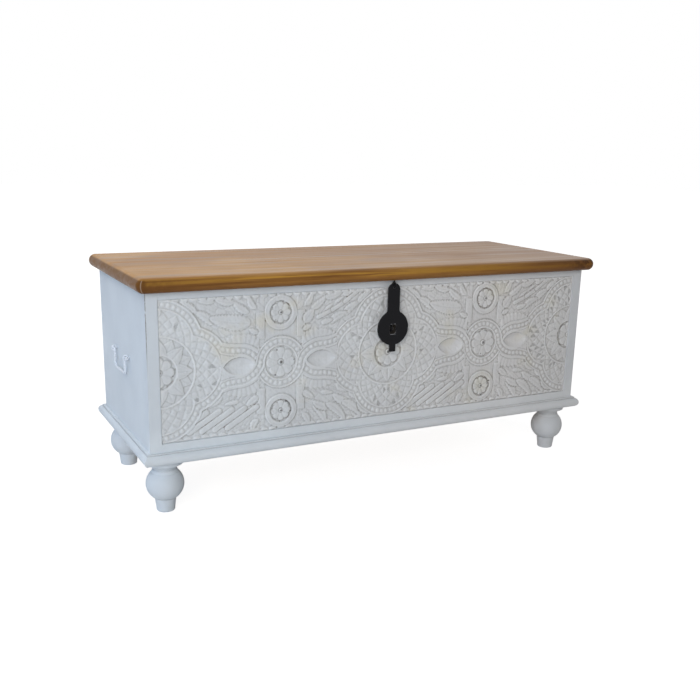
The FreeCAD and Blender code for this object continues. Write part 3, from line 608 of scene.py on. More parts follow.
@dataclass
class Relief:
    """Heights of the carved face on a grid, as stamps are laid on it. Sizes are in millimetres.

    Attributes:
        x: Distance from the trunk's middle, folded to one side.
        way: 1 right of the trunk's middle, -1 left of it.
        v: Height above the carving's middle.
        h: The heights so far, 0 at the panel's plain face.
        glaze_and_shade: How much old dark glaze, rust stain and painted shade is left in the crevices so
            far, from 0 to 1.
        clean: Where neither dirt nor painted shade is laid in the crevices.
        ground: Height of the deepest ground, round the flowers.
        field: Height of the ground between the leaves.
        band_floor: Height of the floor of the beaded bands.
        crest: Height of the borders and leaves.
        bead_pitch: Spacing of the beads.
        bead: A bead's radius.
        border: Half the width of a band's border.
        fillet: Half the width of a ring.
    """

    x: Array
    way: Array
    v: Array
    h: Array
    glaze_and_shade: Array
    clean: Array
    ground: float = -4.5
    field: float = -3.5
    band_floor: float = -2.5
    crest: float = -0.35
    bead_pitch: float = 11.6
    bead: float = 4.9
    border: float = 2.0
    fillet: float = 2.4

    @staticmethod
    def dome(distance: Array, radius: float) -> Array:
        """A round hump: 1 at its middle, 0 at the radius and beyond."""
        return np.sqrt(np.clip(1.0 - (distance / radius) ** 2, 0.0, 1.0))

    @staticmethod
    def plateau(distance: Array, half: float, shoulder: float = 1.5) -> Array:
        """A flat top with rounded shoulders: 1 on the flat, 0 at half the width and beyond."""
        inward = np.clip((half - np.abs(distance)) / shoulder, 0.0, 1.0)
        return np.sqrt(1.0 - (1.0 - inward) ** 2)

    @staticmethod
    def cut(distance: Array, width: float) -> Array:
        """A soft narrow cut: 1 at its middle, near 0 at twice the width."""
        return np.exp(-(distance / width) ** 2)

    def set(self, where: Array, heights: Union[Array, float]) -> None:
        """Cut or fill a stretch to new heights, which takes its glaze away."""
        self.h = np.where(where, heights, self.h)
        self.glaze_and_shade = np.where(where, 0.0, self.glaze_and_shade)

    def ink(self, where: Array, share: Union[Array, float]) -> None:
        """Leave a share of dark glaze in a crevice, which at the eyes and round the staple is also painted
        shade.
        """
        self.glaze_and_shade = np.where(where, np.maximum(self.glaze_and_shade, share), self.glaze_and_shade)

    def lift(self, low: float, high: float, share: Array) -> None:
        """Raise the face where a stamp, from low at share 0 to high at share 1, stands higher."""
        stamp = low + (high - low) * share
        self.set((share > 0.0) & (stamp > self.h), stamp)

    def ring(self, r: Array, radius: float) -> None:
        """Raise a fillet along a circle."""
        self.lift(self.ground, self.crest, self.plateau(r - radius, self.fillet))

    def band(self, offset: Array, run: Array, half: float, outside: float) -> Array:
        """A beaded band between two raised borders.

        Args:
            offset: Distance from the band's middle line, outward.
            run: Distance along it.
            half: Half the width between the borders' outer edges.
            outside: What the outer border is wider by.

        Returns:
            The band's heights.
        """
        inner = self.plateau(offset + half - self.border, self.border)
        outer = self.plateau(offset - half + self.border - 0.5 * outside, self.border + 0.5 * outside)
        local = (run / self.bead_pitch - np.round(run / self.bead_pitch)) * self.bead_pitch
        beads = 0.92 * self.dome(np.hypot(offset, local), self.bead)
        share = np.maximum(np.maximum(inner, outer), beads)
        return self.band_floor + (self.crest - self.band_floor) * share

    def leaf(self, leaf: Leaf, dx: Array, side: float) -> None:
        """Stamp a pointed leaf with a cut midrib, side veins and a notched edge.

        Args:
            leaf: The leaf's place and size.
            dx: Distance from the flower's middle, folded.
            side: 1 above the middle line, -1 below it.
        """
        tilt = math.radians(leaf.tilt)
        a, b = dx - leaf.along, side * self.v - leaf.up
        run = a * math.cos(tilt) + b * math.sin(tilt)
        t = np.clip(run / (0.5 * leaf.length), -1.0, 1.0)
        off = np.abs(b * math.cos(tilt) - a * math.sin(tilt) - leaf.bend * t * t)
        notch = 1.0 - 0.15 * np.abs(np.sin((run - 0.8 * off) * math.pi / 8.0))
        half = 0.5 * leaf.width * np.sqrt(1.0 - t * t) * (1.0 - 0.30 * t) * notch + 0.01
        body = np.sqrt(np.clip((half - off) / 3.0, 0.0, 1.0))
        rib = 0.30 * self.cut(off, 1.1)
        veins = 0.07 * np.clip(np.sin((run - 1.1 * off) * 2.0 * math.pi / 7.5), 0.0, 1.0)
        sag = 0.16 * np.clip(off / half, 0.0, 1.0)
        within = (np.abs(t) < 1.0) & (side * self.v > 0.0)
        self.set((off < half + 1.0) & within, self.field)
        self.lift(self.field, self.crest, body * (1.0 - rib - veins * (off > 1.6) - sag))
        self.ink((off > half) & (off < half + 1.6) & within, 0.14)

    def strap(self, strap: Strap, dx: Array, side: float) -> None:
        """Stamp a round-ended strap with a groove down its middle.

        Args:
            strap: The strap's ends and width.
            dx: Distance from the flower's middle, folded.
            side: 1 above the middle line, -1 below it.
        """
        ax, av = strap.along1 - strap.along0, strap.up1 - strap.up0
        px, pv = dx - strap.along0, side * self.v - strap.up0
        t = np.clip((px * ax + pv * av) / (ax * ax + av * av), 0.0, 1.0)
        off = np.hypot(px - t * ax, pv - t * av)
        groove = strap.groove * self.cut(off, 1.2)
        beyond = off - 0.5 * strap.width
        within = side * self.v > 0.0
        self.set((beyond < 1.0) & within, self.field)
        self.lift(self.field, self.crest, self.plateau(off, 0.5 * strap.width, 2.4) * (1.0 - groove))
        self.ink((beyond > 0.0) & (beyond < 1.4) & within, 0.12)

    def fan(self, fan: Fan, dx: Array, side: float) -> None:
        """Stamp a fan of flutes that hangs over a strand.

        Args:
            fan: The fan's place and size.
            dx: Distance from the flower's middle, folded.
            side: 1 above the middle line, -1 below it.
        """
        a, b = dx - fan.along, side * self.v - fan.up
        r = np.hypot(a, b)
        rounded = np.abs(np.sin(np.degrees(np.arctan2(a, b)) / fan.flute * math.pi))
        inside = (r > fan.inner) & (r < fan.outer + 3.0 * rounded) & (np.abs(a) < fan.half)
        self.lift(self.field, self.crest, inside * (0.62 + 0.28 * rounded ** 0.6))

    def post(self, post: Post, dx: Array, side: float) -> None:
        """Stamp a flat upright post with a cut line inside each edge.

        Args:
            post: The post's place and size.
            dx: Distance from the flower's middle, folded.
            side: 1 above the middle line, -1 below it.
        """
        up = side * self.v
        off = np.abs(dx - post.along)
        within = (up > post.low) & (up < post.high)
        line = 0.25 * self.cut(post.half - off - 3.4, 0.9)
        self.lift(self.field, self.crest - 0.3, within * self.plateau(off, post.half) * (1.0 - line))
        self.ink(within & (np.abs(off - post.half - 0.6) < 0.9), 0.25)

    def flower(self, dx: Array, dv: Array, radius: float, line: float) -> None:
        """Stamp an open flower of eight scalloped petals round a boss, in a cut well.

        Args:
            dx: Distance from the flower's middle along the trunk.
            dv: Distance from the flower's middle upward.
            radius: The flower's radius.
            line: How much glaze is left round the petals.
        """
        petals = 8.0
        r = np.hypot(dx, dv)
        turn = np.arctan2(dv, dx) * petals / (2.0 * math.pi)
        fold = np.abs(turn - np.round(turn)) * 2.0
        outline = radius * (0.74 + 0.26 * np.sqrt(np.clip(1.0 - fold ** 2.2, 0.0, 1.0)))
        rim = np.sqrt(np.clip((outline - r) / 2.0, 0.0, 1.0))
        bowl = 0.42 * np.clip(1.15 - r / (0.9 * radius), 0.0, 1.0) + 0.14 * fold * r / radius
        groove = 0.22 * self.cut(r * (1.0 - fold) * math.pi / petals, 0.9)
        well, heart = r < 1.11 * radius, r < 0.25 * radius
        self.set(well, 0.8 * self.ground)
        self.lift(self.ground, self.crest - 0.2, rim * (1.0 - bowl - groove))
        self.ink(well & (r > outline - 0.6), line * self.cut(r - outline - 0.9, 1.3))
        self.set(heart, 0.8 * self.ground)
        self.ink(heart, line)
        self.lift(self.ground, self.crest, self.dome(r, 0.19 * radius))
        self.ink(r < 0.10 * radius, 0.8)


@dataclass
class CarvedFront:
    """The carved panel of the front. Sizes are in millimetres.

    Attributes:
        pitch: Spacing of the mesh.
        flower_at: The flowers' distance from the middle of the trunk.
        flower: The flowers' radius, and the glaze round their petals.
        eye_at: The eyes' distance from their flower.
        eye_half: Half an eye's length and height.
        dish_depth: Depth of the eyes.
        lobe_offset: A lobe's distance from its mandala's middle.
        lobe_radius: A lobe's radius.
        band_width: Width of the beaded band round the lobes.
        net_lines: How many lines of the net run each way.
        lotus_radius: Radius of the ring round the lotus petals.
        lotus_floor: Height of the floor under them.
        lotus_foot: The petals' distance from the mandala's middle.
        heart_radius: Radius of the ring round a mandala's flower.
        heart: That flower's radius, and the glaze round its petals.
        strand_half: Half a strand's width.
        strand_circle: Radius of the strands round the flower.
        strand_rise: Height of the strands over the eyes.
        strand_extra: What a strand's outer border is wider by at an eye.
        rosette_up: The small rosettes' distance from the middle line.
        rosette_radius: The radius of their rim.
        rosette: Their flower's radius, and the glaze round its petals.
        scallop: Spacing of the scallops along the panel's top and bottom.
        upper_leaves: The leaves above the strands.
        broad_leaf: The broad leaf above the strands, left of each flower.
        stem_leaves: More leaves above the strands, right of each flower.
        stems: The stems among them.
        lower_leaves: The leaves below the strands.
        curled_leaves: More leaves below the strands, right of each flower.
        bars: The slanted bars below the strands, left of each flower.
        post: The posts beside the small rosettes.
        fan: The fans over the strands.
        leaflets: How many leaflets fill the ground of a spandrel.
        leaflet_tilt: The leaflets' tilt in degrees.
        rust_and_shade_at: The middle of the rust stain, which is also painted shade behind the hasp, from
            the staple.
        rust_and_shade_reach: The stain's radius.
    """

    pitch: float = 1.27
    flower_at: float = 265.0
    flower: tuple[float, float] = (33.0, 0.14)
    eye_at: float = 95.0
    eye_half: tuple[float, float] = (35.0, 19.0)
    dish_depth: float = 6.5
    lobe_offset: float = 57.6
    lobe_radius: float = 71.0
    band_width: float = 22.5
    net_lines: float = 30.0
    lotus_radius: float = 75.0
    lotus_floor: float = -3.1
    lotus_foot: float = 38.0
    heart_radius: float = 37.5
    heart: tuple[float, float] = (31.5, 0.24)
    strand_half: float = 10.8
    strand_circle: float = 46.5
    strand_rise: float = 33.0
    strand_extra: float = 4.2
    rosette_up: float = 108.0
    rosette_radius: float = 37.7
    rosette: tuple[float, float] = (23.0, 0.30)
    scallop: float = 19.0
    upper_leaves: tuple[Leaf, ...] = (
        Leaf(92, 123, 38, 46, 18, 3), Leaf(126, 137, 14, 44, 17, 3), Leaf(168, 110, 34, 50, 20, -4),
        Leaf(68, 132, 62, 34, 17, 4), Leaf(200, 133, 36, 44, 15, -3), Leaf(164, 140, 4, 34, 13),
        Leaf(62, 72, 24, 24, 14),
    )
    broad_leaf: Leaf = Leaf(114, 94, 10, 92, 36, 4)
    stem_leaves: tuple[Leaf, ...] = (
        Leaf(66, 97, 52, 36, 26), Leaf(136, 92, 26, 50, 20, -4), Leaf(110, 82, 14, 30, 15),
        Leaf(114, 113, 36, 26, 10), Leaf(140, 128, 30, 26, 9),
    )
    stems: tuple[Strap, ...] = (
        Strap(88, 92, 122, 106, 10), Strap(122, 106, 152, 122, 10), Strap(152, 122, 186, 146, 9),
    )
    lower_leaves: tuple[Leaf, ...] = (
        Leaf(150, 74, 28, 42, 18, -3), Leaf(180, 94, 36, 40, 16, -3), Leaf(64, 134, 64, 34, 18, 4),
        Leaf(112, 79, 8, 32, 13), Leaf(66, 80, 34, 34, 18), Leaf(204, 114, 46, 34, 14, -3),
    )
    curled_leaves: tuple[Leaf, ...] = (
        Leaf(100, 126, 58, 58, 22, 7), Leaf(104, 112, 18, 60, 20, -6), Leaf(140, 124, 44, 70, 22, 7),
        Leaf(150, 102, 22, 56, 20, -6), Leaf(178, 120, 40, 66, 22, 6), Leaf(204, 130, 38, 44, 17, -4),
    )
    bars: tuple[Strap, ...] = tuple(Strap(along - 36, 94, along + 30, 133, 13, 0.05)
                                    for along in range(92, 205, 28))
    post: Post = Post()
    fan: Fan = Fan()
    leaflets: int = 110
    leaflet_tilt: float = 36.0
    rust_and_shade_at: tuple[float, float] = (5.0, -3.0)
    rust_and_shade_reach: float = 18.0

    def __post_init__(self) -> None:
        """Take the field's size and place from the frame's rails, stiles and panel."""
        low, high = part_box("carved_front_panel")
        self.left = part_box("left_front_stile")[1].x / MM
        self.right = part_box("right_front_stile")[0].x / MM
        self.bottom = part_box("front_bottom_rail")[1].z / MM
        self.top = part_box("front_top_rail")[0].z / MM
        self.face = low.y / MM
        self.back = high.y / MM
        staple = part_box("lock_staple")
        self.staple_up = 0.5 * (staple[0].z + staple[1].z) / MM - 0.5 * (self.bottom + self.top)

    def carve(self, x: Array, z: Array) -> tuple[Array, Array, Array]:
        """Carve the face.

        Args:
            x: Places along the trunk.
            z: Heights above the floor.

        Returns:
            Heights, 0 at the panel's plain face and negative below it, the glaze and painted shade left in
            the crevices, and where neither dirt nor painted shade is laid.
        """
        v = z - 0.5 * (self.bottom + self.top)
        relief = Relief(np.abs(x), np.sign(x), v, np.full_like(v, Relief.field), np.zeros_like(v),
                        np.zeros_like(v, bool))
        self.spandrels(relief)
        for middle in (0.0, self.right):
            self.mandala(relief, relief.x - middle)
        self.guilloche(relief)
        edge = np.minimum(np.minimum(x - self.left, self.right - x),
                          np.minimum(z - self.bottom, self.top - z))
        relief.set(edge < 1.8, np.minimum(relief.h, relief.band_floor))
        self.gouges(relief, x)
        # A rust stain round the staple, which is also painted shade where the hasp darkens the panel seen
        # through its slot.
        rust_and_shade = np.hypot(x - self.rust_and_shade_at[0], v - self.staple_up - self.rust_and_shade_at[1])
        relief.ink(relief.h < 0.0, np.clip((self.rust_and_shade_reach - rust_and_shade) / 4.0, 0.0, 1.0))
        return np.minimum(relief.h + self.tool_marks(x, v), -0.05), relief.glaze_and_shade, relief.clean

    def gouges(self, relief: Relief, x: Array) -> None:
        """Leave dark gouges round the flowers, where the paint has worn through.

        Args:
            relief: The face so far.
            x: Places along the trunk.
        """
        draw = np.random.default_rng(23)
        small, large = 24.0, 31.0
        places = [(side * self.flower_at, up, reach) for side in (-1.0, 1.0)
                  for up, reach in ((self.rosette_up, small), (0.0, large), (-self.rosette_up, small))]
        places += [(side * self.right, 0.0, large) for side in (-1.0, 0.0, 1.0)]
        for along, up, reach in places:
            dx, dv = x - along, relief.v - up
            r, turn = np.hypot(dx, dv), np.arctan2(dv, dx)
            for _ in range(draw.integers(0, 4)):
                start, far, wide, thick = draw.uniform((-math.pi, 0.88, 0.15, 0.7),
                                                       (math.pi, 1.04, 0.65, 1.3))
                aside = np.abs((turn - start + math.pi) % (2.0 * math.pi) - math.pi)
                on = (np.abs(r - far * reach) < thick) & (aside < wide)
                relief.ink(on, 0.55 * (1.0 - (aside / wide) ** 2))
            for _ in range(draw.integers(1, 6)):
                angle, far, size = draw.uniform((0.0, 0.80, 0.4), (2.0 * math.pi, 1.10, 1.6))
                spot = np.hypot(dx - far * reach * math.cos(angle), dv - far * reach * math.sin(angle))
                relief.ink(spot < size + 0.8, np.clip(size + 0.8 - spot, 0.0, 1.0))

    def tool_marks(self, x: Array, v: Array) -> Array:
        """The uneven hand of the carver.

        Args:
            x: Places along the trunk.
            v: Heights above the carving's middle.

        Returns:
            Small differences in height.
        """
        draw = np.random.default_rng(7)
        marks = np.zeros_like(x)
        for size in (34.0, 15.0, 9.0, 6.0, 4.5):
            for _ in range(4):
                angle, phase = draw.uniform(0.0, 2.0 * math.pi, 2)
                run = x * math.cos(angle) + v * math.sin(angle)
                marks += size ** 0.5 * np.sin(run * 6.28 / size + phase)
        return 0.02 * marks

    def outside_lobes(self, dx: Array, v: Array) -> tuple[Array, Array]:
        """Measure a mandala's four-lobed outline.

        Args:
            dx: Distance from the mandala's middle along the trunk.
            v: Distance from it upward.

        Returns:
            Distance outside the outline, and distance along it in each lobe.
        """
        turn = np.arctan2(v, dx)
        lobe_turn = np.round(turn / (0.5 * math.pi)) * 0.5 * math.pi
        lx = dx - self.lobe_offset * np.cos(lobe_turn)
        lv = v - self.lobe_offset * np.sin(lobe_turn)
        around = np.arctan2(lv, lx) - lobe_turn
        around = (around + math.pi) % (2.0 * math.pi) - math.pi
        return np.hypot(lx, lv) - self.lobe_radius, around * (self.lobe_radius + 0.5 * self.band_width)

    def mandala(self, relief: Relief, dx: Array) -> None:
        """Four lobes of net round a ring of leaves and a flower, in a beaded band.

        Args:
            relief: The face so far.
            dx: Distance from the mandala's middle.
        """
        v = relief.v
        r = np.hypot(dx, v)
        turn = np.arctan2(v, dx)
        outside, run = self.outside_lobes(dx, v)
        middle = 0.5 * self.band_width
        band = relief.band(outside - middle, run, middle, 0.0)
        relief.set((outside > -1.0) & (outside < self.band_width), band)
        relief.ink((outside > self.band_width) & (outside < self.band_width + 1.5), 0.20)
        self.net(relief, (outside <= 0.2) & (r > self.lotus_radius + 1.0), r, turn)
        relief.set(r < self.lotus_radius, self.lotus_floor)
        eighth = 0.25 * math.pi
        fold = (turn / eighth - np.round(turn / eighth)) * eighth
        between = np.abs(fold) - 0.5 * eighth
        for angle, length, width, drop in ((between, 34.5, 40.0, 1.1), (fold, 33.0, 34.0, 0.0)):
            self.petal(relief, r * np.cos(angle) - self.lotus_foot, r * np.sin(angle), length, width,
                       relief.crest - drop)
        relief.ring(r, self.lotus_radius)
        relief.set(r < self.heart_radius - 1.0, relief.ground)
        relief.ring(r, self.heart_radius)
        relief.flower(dx, v, *self.heart)

    def net(self, relief: Relief, where: Array, r: Array, turn: Array) -> None:
        """A curved net of pillowed cells, some of them half cut away, most of all at the far right.

        Args:
            relief: The face so far.
            where: The stretch to fill.
            r: Distance from the mandala's middle.
            turn: Angle round it.
        """
        spiral = np.log(np.maximum(r, 1.0))
        nearest = np.full_like(r, np.inf)
        cell = np.zeros_like(r)
        corner = np.zeros_like(r)
        for way in (1.0, -1.0):
            place = (turn + way * spiral) * self.net_lines / (2.0 * math.pi)
            gap = np.abs(place - np.round(place)) * 2.0 * math.pi * r / self.net_lines * 0.707
            nearest = np.minimum(nearest, gap)
            cell = cell + np.floor(place) * (12.9898 + 30.0 * way)
            corner = corner + place - np.floor(place)
        uneven = np.abs(np.sin(cell)) ** 3
        pillow = np.sqrt(np.clip(nearest / 3.4, 0.0, 1.0))
        chance = np.sin(cell) * 4375.85 % 1.0
        kept = np.where((relief.way > 0.0) & (relief.x > 0.6 * self.right), 0.62, 0.90)
        cut = where & (chance > kept) & (corner < 0.9) & (nearest > 1.2)
        relief.set(where, -3.0 + (2.3 - 1.1 * uneven) * pillow - 1.0 * cut)
        relief.ink(cut, 0.3)

    def petal(self, relief: Relief, run: Array, off: Array, length: float, width: float,
              crest: float) -> None:
        """Raise a lotus petal, broad at its foot, with a cut midrib and a cut outline inside its edge.

        Args:
            relief: The face so far.
            run: Distance along the petal from its foot.
            off: Distance across it.
            length: Its length.
            width: Its width at the foot.
            crest: Its height.
        """
        within = (run > 0.0) & (run < length)
        inward = 0.5 * width * (1.0 - np.clip(run / length, 0.0, 1.0) ** 1.8) - np.abs(off)
        body = within * np.sqrt(np.clip(inward / 2.0, 0.0, 1.0))
        lines = 0.42 * relief.cut(off, 1.2) + 0.30 * relief.cut(inward - 4.2, 1.0)
        relief.lift(self.lotus_floor, crest, body * (1.0 - lines))
        relief.ink(within & (inward < 0.3) & (inward > -1.4), 0.16)

    def strand(self, relief: Relief, dx: Array, side: float) -> tuple[Array, Array, Array]:
        """The line of one strand: over the eyes and under the flower, or the other way up.

        Args:
            relief: The face so far.
            dx: Distance from the flower's middle.
            side: 1 over the eyes, -1 under them.

        Returns:
            Distance from the strand's line, distance along it, and where it bends round an eye.
        """
        up = side * relief.v
        reach = np.abs(dx)
        past = reach - self.eye_at
        chord = self.eye_at - self.strand_circle
        drop = 0.5 * (chord ** 2 / self.strand_rise - self.strand_rise)
        radius = drop + self.strand_rise
        at_flower = up < 0.0
        round_eye = np.hypot(past, up + drop) - radius
        rise = up - self.strand_rise - 0.0045 * past ** 2
        offset = np.where(at_flower, np.hypot(dx, up) - self.strand_circle,
                          np.where(past > 0.0, rise, round_eye))
        run = np.where(at_flower, np.arctan2(dx, -up) * self.strand_circle,
                       np.where(past > 0.0, past, np.arctan2(past, up + drop) * radius))
        return offset, run, ~at_flower & (reach > self.strand_circle + 6.0)

    def guilloche(self, relief: Relief) -> None:
        """Two beaded strands that cross round a flower and two dished eyes.

        Args:
            relief: The face so far.
        """
        dx = relief.x - self.flower_at
        v = relief.v
        reach = np.abs(dx)
        outside = self.outside_lobes(self.flower_at - reach, v)[0]
        free = (outside > 4.2) & (reach < 135.0)
        relief.set(free & (np.abs(v) < self.strand_rise) & (reach > self.strand_circle), -0.7)
        relief.set(np.hypot(dx, v) < self.strand_circle, relief.ground)
        for on_top in (False, True):
            for side in (1.0, -1.0):
                offset, run, at_eye = self.strand(relief, dx, side)
                wide = self.strand_extra * at_eye
                beyond = np.abs(offset - 0.5 * wide) - self.strand_half - 0.5 * wide
                heights = np.where(at_eye, relief.band(offset, run, self.strand_half, self.strand_extra),
                                   relief.band(offset, run, self.strand_half, 0.0))
                here = free & (((dx < 0.0) == (side > 0.0)) == on_top)
                relief.set(here & (beyond < 0.0), heights)
                relief.ink(here & (beyond > 0.0) & (beyond < 1.4), 0.28)
        relief.flower(dx, v, *self.flower)
        a, b = self.eye_half
        arc = (a * a + b * b) / (2.0 * b)
        eye = np.hypot(reach - self.eye_at, np.abs(v) + arc - b) - arc
        bowl = 1.0 - (1.0 - np.clip(-eye / b, 0.0, 1.0)) ** 2.2
        relief.clean = (eye < 0.0) & free
        relief.set((eye < 4.0) & (eye > 0.0) & free, relief.crest)
        relief.set(relief.clean, relief.crest - self.dish_depth * bowl)
        # Painted shade: the line round each eye is glazed darker toward its upper left, where the dish lies
        # in shade.
        right = relief.way * (dx - np.sign(dx) * self.eye_at)
        shaded = np.clip(0.4 - 0.6 * right / a + 0.5 * v / b, 0.0, 1.0)
        relief.ink((np.abs(eye + 0.7) < 1.0) & free, 0.42 * shaded)

    def spandrels(self, relief: Relief) -> None:
        """Leaves, stems, bars, fans and small rosettes above and below the strands.

        Args:
            relief: The face so far.
        """
        dx = relief.x - self.flower_at
        reach = np.abs(dx)
        nowhere = 999.0
        left, right = (np.where(way * relief.way * dx > 0.0, reach, nowhere) for way in (-1.0, 1.0))
        above = [(relief.leaf, leaf, reach) for leaf in self.upper_leaves]
        above += [(relief.leaf, leaf, right) for leaf in self.stem_leaves]
        above += [(relief.leaf, self.broad_leaf, left)]
        above += [(relief.strap, stem, right) for stem in self.stems]
        below = [(relief.leaf, leaf, reach) for leaf in self.lower_leaves]
        below += [(relief.leaf, leaf, right) for leaf in self.curled_leaves]
        below += [(relief.strap, bar, left) for bar in self.bars]
        for side, stamps in ((1.0, above), (-1.0, below)):
            before = relief.h, relief.glaze_and_shade
            self.foliage(relief, reach, side)
            relief.fan(self.fan, reach, side)
            relief.post(self.post, reach, side)
            for stamp, form, where in stamps:
                stamp(form, where, side)
            local = reach - np.round(reach / self.scallop) * self.scallop
            edge = np.hypot(local, side * relief.v - 0.5 * (self.top - self.bottom))
            relief.lift(relief.field, relief.crest, relief.plateau(edge, 9.0, 3.0) * 0.9)
            relief.h, relief.glaze_and_shade = (np.where(side * relief.v > 0.0, new, old)
                                      for new, old in zip((relief.h, relief.glaze_and_shade), before))
            dv = relief.v - side * self.rosette_up
            r = np.hypot(dx, dv)
            rim = relief.plateau(r, self.rosette_radius, relief.fillet)
            line = 0.9 * relief.cut(r - self.rosette_radius + 4.5, 0.9)
            relief.set(r < self.rosette_radius, relief.field + (relief.crest - relief.field) * rim - line)
            relief.ink((r > self.rosette_radius) & (r < self.rosette_radius + 1.3), 0.2)
            relief.flower(dx, dv, *self.rosette)

    def foliage(self, relief: Relief, reach: Array, side: float) -> None:
        """Fill the ground with low leaflets that crowd each other.

        Args:
            relief: The face so far.
            reach: Distance from the flower's middle, folded.
            side: 1 above the middle line, -1 below it.
        """
        draw = np.random.default_rng(11 if side > 0.0 else 12)
        up = side * relief.v
        tilt = math.radians(self.leaflet_tilt)
        run = 0.5 * (reach * math.cos(tilt) + up * math.sin(tilt))
        off = up * math.cos(tilt) - reach * math.sin(tilt)
        nearest, second, across = (np.full_like(reach, 99.0) for _ in range(3))
        for along, high in draw.uniform((40.0, 40.0), (240.0, 150.0), (self.leaflets, 2)):
            aside = off - high * math.cos(tilt) + along * math.sin(tilt)
            distance = np.hypot(run - 0.5 * (along * math.cos(tilt) + high * math.sin(tilt)), aside)
            closer = distance < nearest
            second = np.where(closer, nearest, np.minimum(second, distance))
            nearest = np.where(closer, distance, nearest)
            across = np.where(closer, aside, across)
        body = np.sqrt(np.clip((second - nearest) / 2.6, 0.0, 1.0))
        area = (reach > 38.0) & (up > 0.0)
        relief.lift(relief.field, relief.field + 1.1, area * body * (1.0 - 0.35 * relief.cut(across, 0.9)))
        relief.ink(area & (second - nearest < 0.9), 0.08)

    def soften(self, h: Array, passes: int) -> Array:
        """Round the carving's edges as paint does.

        Args:
            h: Heights on the grid.
            passes: How often to average each point with its neighbours.

        Returns:
            The softened heights.
        """
        for _ in range(passes):
            p = np.pad(h, 1, mode="edge")
            h = 0.5 * h + 0.125 * (p[:-2, 1:-1] + p[2:, 1:-1] + p[1:-1, :-2] + p[1:-1, 2:])
        return h

    def half_mesh(self, name: str, x0: float, x1: float) -> bpy.types.Object:
        """Build one half of the panel as a closed mesh.

        Args:
            name: The piece's name.
            x0: Its left end.
            x1: Its right end.

        Returns:
            The new object.
        """
        nx = int(round((x1 - x0) / self.pitch)) + 1
        nz = int(round((self.top - self.bottom) / self.pitch)) + 1
        columns = np.linspace(x0, x1, nx)
        x, z = np.meshgrid(columns, np.linspace(self.bottom, self.top, nz))
        h, glaze_and_shade, clean = self.carve(x, z)
        h = self.soften(h, 1)
        depth = (self.soften(h, 16) - h) / 1.4
        marks = {"cavity": np.clip(depth, 0.0, 1.0) * ~clean, "ridge": np.clip(-depth, 0.0, 1.0),
                 "glaze_and_shade": glaze_and_shade}
        front = np.stack([x, self.face - h, z], axis=-1).reshape(-1, 3)
        back = np.array([[px, self.back, pz] for pz in (self.bottom, self.top) for px in columns])
        index = np.arange(nx * nz).reshape(nz, nx)
        rear = nx * nz + np.arange(2 * nx).reshape(2, nx)
        rows = [(index[:-1], index[1:]), (rear[0], index[0]), (index[-1], rear[1]), (rear[1], rear[0])]
        quads = [np.stack([low[..., :-1], low[..., 1:], high[..., 1:], high[..., :-1]], -1).reshape(-1, 4)
                 for low, high in rows]
        faces = np.concatenate(quads).tolist()
        faces.append([*index[::-1, 0].tolist(), int(rear[0, 0]), int(rear[1, 0])])
        faces.append([*index[:, -1].tolist(), int(rear[1, -1]), int(rear[0, -1])])
        mesh = bpy.data.meshes.new(name)
        mesh.from_pydata((np.concatenate([front, back]) * MM).tolist(), [], faces)
        mesh.polygons.foreach_set("use_smooth", np.arange(len(faces)) < len(quads[0]))
        for mark, shares in marks.items():
            values = np.concatenate([shares.ravel(), np.zeros(2 * nx)]).astype(np.float32)
            mesh.attributes.new(mark, "FLOAT", "POINT").data.foreach_set("value", values)
        mesh.update()
        piece = bpy.data.objects.new(name, mesh)
        bpy.context.scene.collection.objects.link(piece)
        return piece

    def build(self) -> list[bpy.types.Object]:
        """Build both halves in place of the plain panel.

        Returns:
            The two pieces.
        """
        paint = WhitePaint(Ground.CARVED, (0.79, 0.80, 0.80), (0.73, 0.735, 0.735)).material()
        pieces = []
        for name, x0, x1 in (("carved_panel_left", self.left, 0.0), ("carved_panel_right", 0.0, self.right)):
            piece = self.half_mesh(name, x0, x1)
            piece.data.materials.append(paint)
            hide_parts("carved_front_panel")
            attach(piece, "carcass")
            pieces.append(piece)
        return pieces


@dataclass
class Dressing:
    """The finishes of the pieces that keep their modelled shape."""

    paint: WhitePaint = WhitePaint(Ground.PLAIN, (0.75, 0.785, 0.81), (0.72, 0.752, 0.775))
    lid: LidTimber = LidTimber()
    black: Iron = Iron("black_iron", (0.004, 0.004, 0.005), (0.36, 0.36, 0.37), metallic=0.0, roughness=0.55,
                       rub=0.28, gloss=0.14, slot_wear_and_glint=0.9)
    steel: Iron = Iron("hinge_steel", (0.22, 0.20, 0.17), (0.55, 0.52, 0.47), metallic=1.0, roughness=0.42,
                       rub=0.8)
    white: Iron = Iron("painted_iron", (0.60, 0.635, 0.68), (0.28, 0.25, 0.22), metallic=0.0, roughness=0.55,
                       rub=0.4)

    def build(self) -> list[bpy.types.Object]:
        """Give every remaining piece its finish.

        Returns:
            The dressed pieces.
        """
        steel = self.steel.material()
        bare = {grain: BareTimber(grain).material() for grain in Grain}
        finishes = {"white_paint": self.paint.material(), "lid_wood": self.lid.material(),
                    "black_iron": self.black.material(), "painted_iron": self.white.material(),
                    "hinge_steel": steel, "screw_steel": steel}
        slots = {entry["node"]: entry["material_slot"] for entry in frame["record"]["subparts"]}
        dressed = []
        for name, piece in frame["nodes"].items():
            grain = Grain.CROSSWISE if name.endswith("lid_batten") else Grain.LENGTHWISE
            piece.data.materials.clear()
            piece.data.materials.append({**finishes, "raw_wood": bare[grain]}[slots[name]])
            dressed.append(piece)
        return dressed


